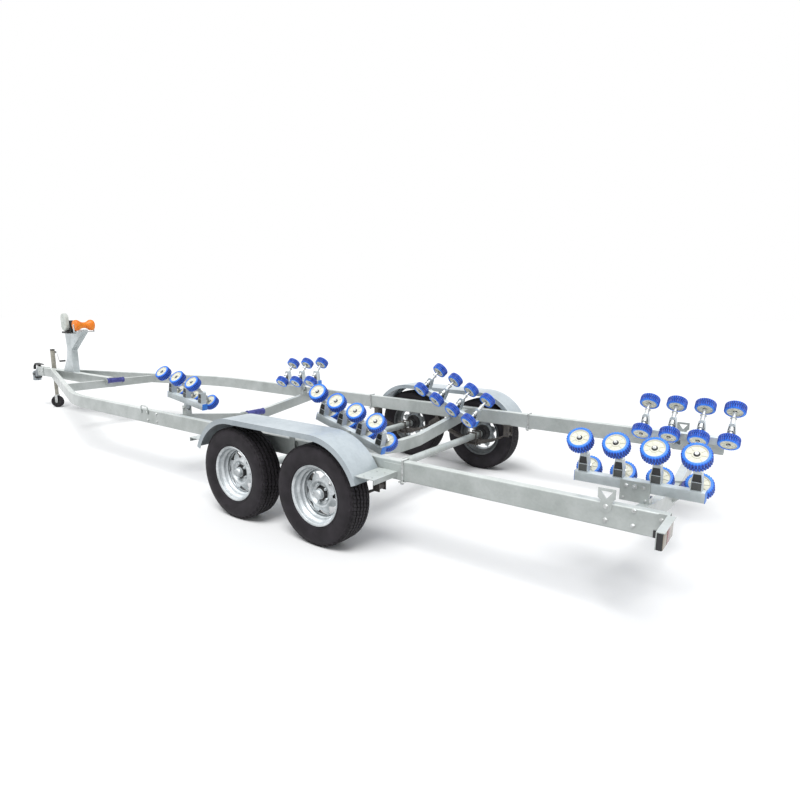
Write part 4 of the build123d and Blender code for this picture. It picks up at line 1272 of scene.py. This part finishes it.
merge_into(bm, spun(head_section, 56), head, 3)
# Black catch down the nose, moulded collar round the head and a black wear plate behind it.
merge_into(bm, round_box((0.0110, 0.0620, 0.1080), (4.4585, 0.0, 0.4420), 0.004), material_index=1)
merge_into(bm, rod(0.0535, 0.0220, 48, 0.004), at(ball_middle[0], 0, 0.4700), 1)
merge_into(bm, round_box((0.0120, 0.0950, 0.1060), (4.3560, 0.0, 0.4640), 0.004), material_index=1)
lever_outline = (
    (4.2740, 0.560),
    (4.2800, 0.612),
    (4.1660, 0.6170),
    (4.1660, 0.6265),
    (4.3240, 0.6375),
    (4.3990, 0.6285),
    (4.4380, 0.6010),
    (4.4600, 0.5765),
    (4.4620, 0.5350),
    (4.4490, 0.5350),
    (4.4460, 0.5710),
    (4.4300, 0.5930),
    (4.3940, 0.6160),
    (4.3290, 0.6235),
    (4.3230, 0.5300),
)
lever = cut_plate((lever_outline,), 0.033)
merge_into(bm, lever, at(0, -0.0165, 0), 1)
for side in (1, -1):
    ear = round_box((0.0500, 0.0040, 0.0700), (lever_pivot, side * 0.0200, 0.5600), 0.0015)
    merge_into(bm, ear, material_index=2)
    pin = rod(0.0060, 0.0050, 16, 0.001)
    merge_into(bm, pin, across_y(lever_pivot, side * 0.0240, 0.5750), 1)
piece = new_piece(
    "ball_coupling",
    bm,
    [frame_zinc, black_coat, bright_zinc, coupling_zinc],
    "frame",
)
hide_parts("coupling")

# ---------------------------------------------------------------- leaf springs
# Slipper springs in dark rolled steel with their hangers, left as they came from the
# mill, dull and a little brown.
spring_steel = zinc_coat(
    "spring_steel",
    (0.030, 0.027, 0.025),
    (0.110, 0.098, 0.088),
    crystal=40.0,
    cloud=18.0,
    metal=0.3,
    relief=0.5,
    coat_weight=0.1,
)
for name in ("suspension_left", "suspension_right"):
    give(name, spring_steel)

# ---------------------------------------------------------------- bolts
# Plated hexagon bolts that hold the brackets, tie-downs and cross tubes to the rails, and
# the U-bolts that clamp the mudguards and spring hangers round each rail.
rail_face = 0.9255
rail_bolts = (
    # x, z, distance out from the rail's outer face, size across
    (-4.0730, 0.5690, 0.0055, 0.019),
    (-4.0730, 0.5020, 0.0, 0.019),
    (-4.3135, 0.5575, 0.0040, 0.017),
    (-4.1960, 0.5730, 0.0, 0.017),
    (-4.1960, 0.5020, 0.0, 0.017),
    (-0.1860, 0.5630, 0.0, 0.017),
    (-0.1860, 0.4940, 0.0, 0.017),
    (-0.3260, 0.5630, 0.0, 0.017),
    (-0.3260, 0.4940, 0.0, 0.017),
    (-2.2290, 0.5630, 0.0, 0.017),
    (-2.2290, 0.4940, 0.0, 0.017),
)
plate_bolts = (
    # x, y, z, size across
    (-4.1775, 0.6860, 0.6117, 0.017),
    (-4.1375, 0.6860, 0.6117, 0.021),
    (-4.0975, 0.6860, 0.6117, 0.017),
    (-4.1900, 0.6860, 0.5500, 0.011),
    (-4.0850, 0.6860, 0.5500, 0.011),
    (-2.2690, 0.6910, 0.6208, 0.021),
    (-0.4310, 0.7290, 0.6012, 0.021),
)
clamp_places = (-2.911, -1.216)
rail_middle = 0.900
clamp_half_width = 0.031
wire_radius = 0.0055
bm = bmesh.new()
for side in (1, -1):
    turned = Matrix.Scale(side, 4, (0, 1, 0))
    for x, z, proud, size in rail_bolts:
        seat = turned @ across_y(x, rail_face + proud, z)
        merge_into(bm, rod(0.62 * size, 0.003, 20, 0.0008), seat)
        merge_into(bm, hex_head(size, 0.45 * size, 0.003), seat)
    for x, y, z, size in plate_bolts:
        seat = turned @ across_y(x, y, z)
        merge_into(bm, rod(0.62 * size, 0.003, 20, 0.0008), seat)
        merge_into(bm, hex_head(size, 0.45 * size, 0.004), seat)
    for x in clamp_places:
        for y in (rail_middle - clamp_half_width, rail_middle + clamp_half_width):
            leg = rod(wire_radius, 0.140, 16)
            merge_into(bm, leg, turned @ at(x, y, 0.5190))
            nut = turned @ at(x, y, 0.4560) @ Matrix.Rotation(math.pi, 4, "X")
            merge_into(bm, hex_head(0.0170, 0.0100), nut)
        bar = rod(wire_radius, 0.0730, 16, 0.002)
        merge_into(bm, bar, turned @ across_y(x, rail_middle, 0.5900))
        strap = round_box((0.0400, 0.0860, 0.0060), (x, rail_middle, 0.4610), 0.0015)
        merge_into(bm, strap, turned)
new_piece("rail_bolts", bm, [bright_zinc], "frame")

# ---------------------------------------------------------------- tail lamps
# Flat wide lamps outboard of the rails' rear ends: a black base, a cream lens across the
# back and a red field in its middle. Each is screwed to a folded galvanised plate whose
# lip shelters it, and a short black clip holds its cable against the rail.
lens_cream = mottled("lens_cream", 0.2, (0.20, 0.17, 0.13), (0.34, 0.30, 0.24), 60.0, bands="Z")
lens_red = mottled("lens_red", 0.2, (0.12, 0.008, 0.006), (0.26, 0.022, 0.014), 60.0, bands="Z")
lamp_rear = -4.366
lamp_out = 1.053
lamp_middle = 0.543
lamp_width = 0.200
lamp_height = 0.074
lens_border = 0.003
red_width = 0.060
bm = bmesh.new()
for side in (1, -1):
    y = side * lamp_out
    body_size = (0.0240, lamp_width, lamp_height)
    merge_into(bm, round_box(body_size, (lamp_rear + 0.0150, y, lamp_middle), 0.003, 3))
    lens_size = (0.0034, lamp_width - 2 * lens_border, lamp_height - 2 * lens_border)
    lens = round_box(lens_size, (lamp_rear + 0.0023, y, lamp_middle), 0.001, 2)
    merge_into(bm, lens, material_index=1)
    strip = round_box((0.0030, red_width, 0.066), (lamp_rear + 0.0015, y, lamp_middle), 0.001, 2)
    merge_into(bm, strip, material_index=2)
    for seam in (-red_width / 2, red_width / 2):
        bead_place = (lamp_rear + 0.0018, y + seam, lamp_middle)
        merge_into(bm, round_box((0.0030, 0.0030, 0.067), bead_place, 0))
    clip = round_box((0.0130, 0.0060, 0.0350), (-4.2895, side * 0.9285, 0.4860), 0.002)
    merge_into(bm, clip)
piece = new_piece("tail_lamps", bm, [hub_black_and_shade, lens_cream, lens_red], "frame")
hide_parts("lamps")
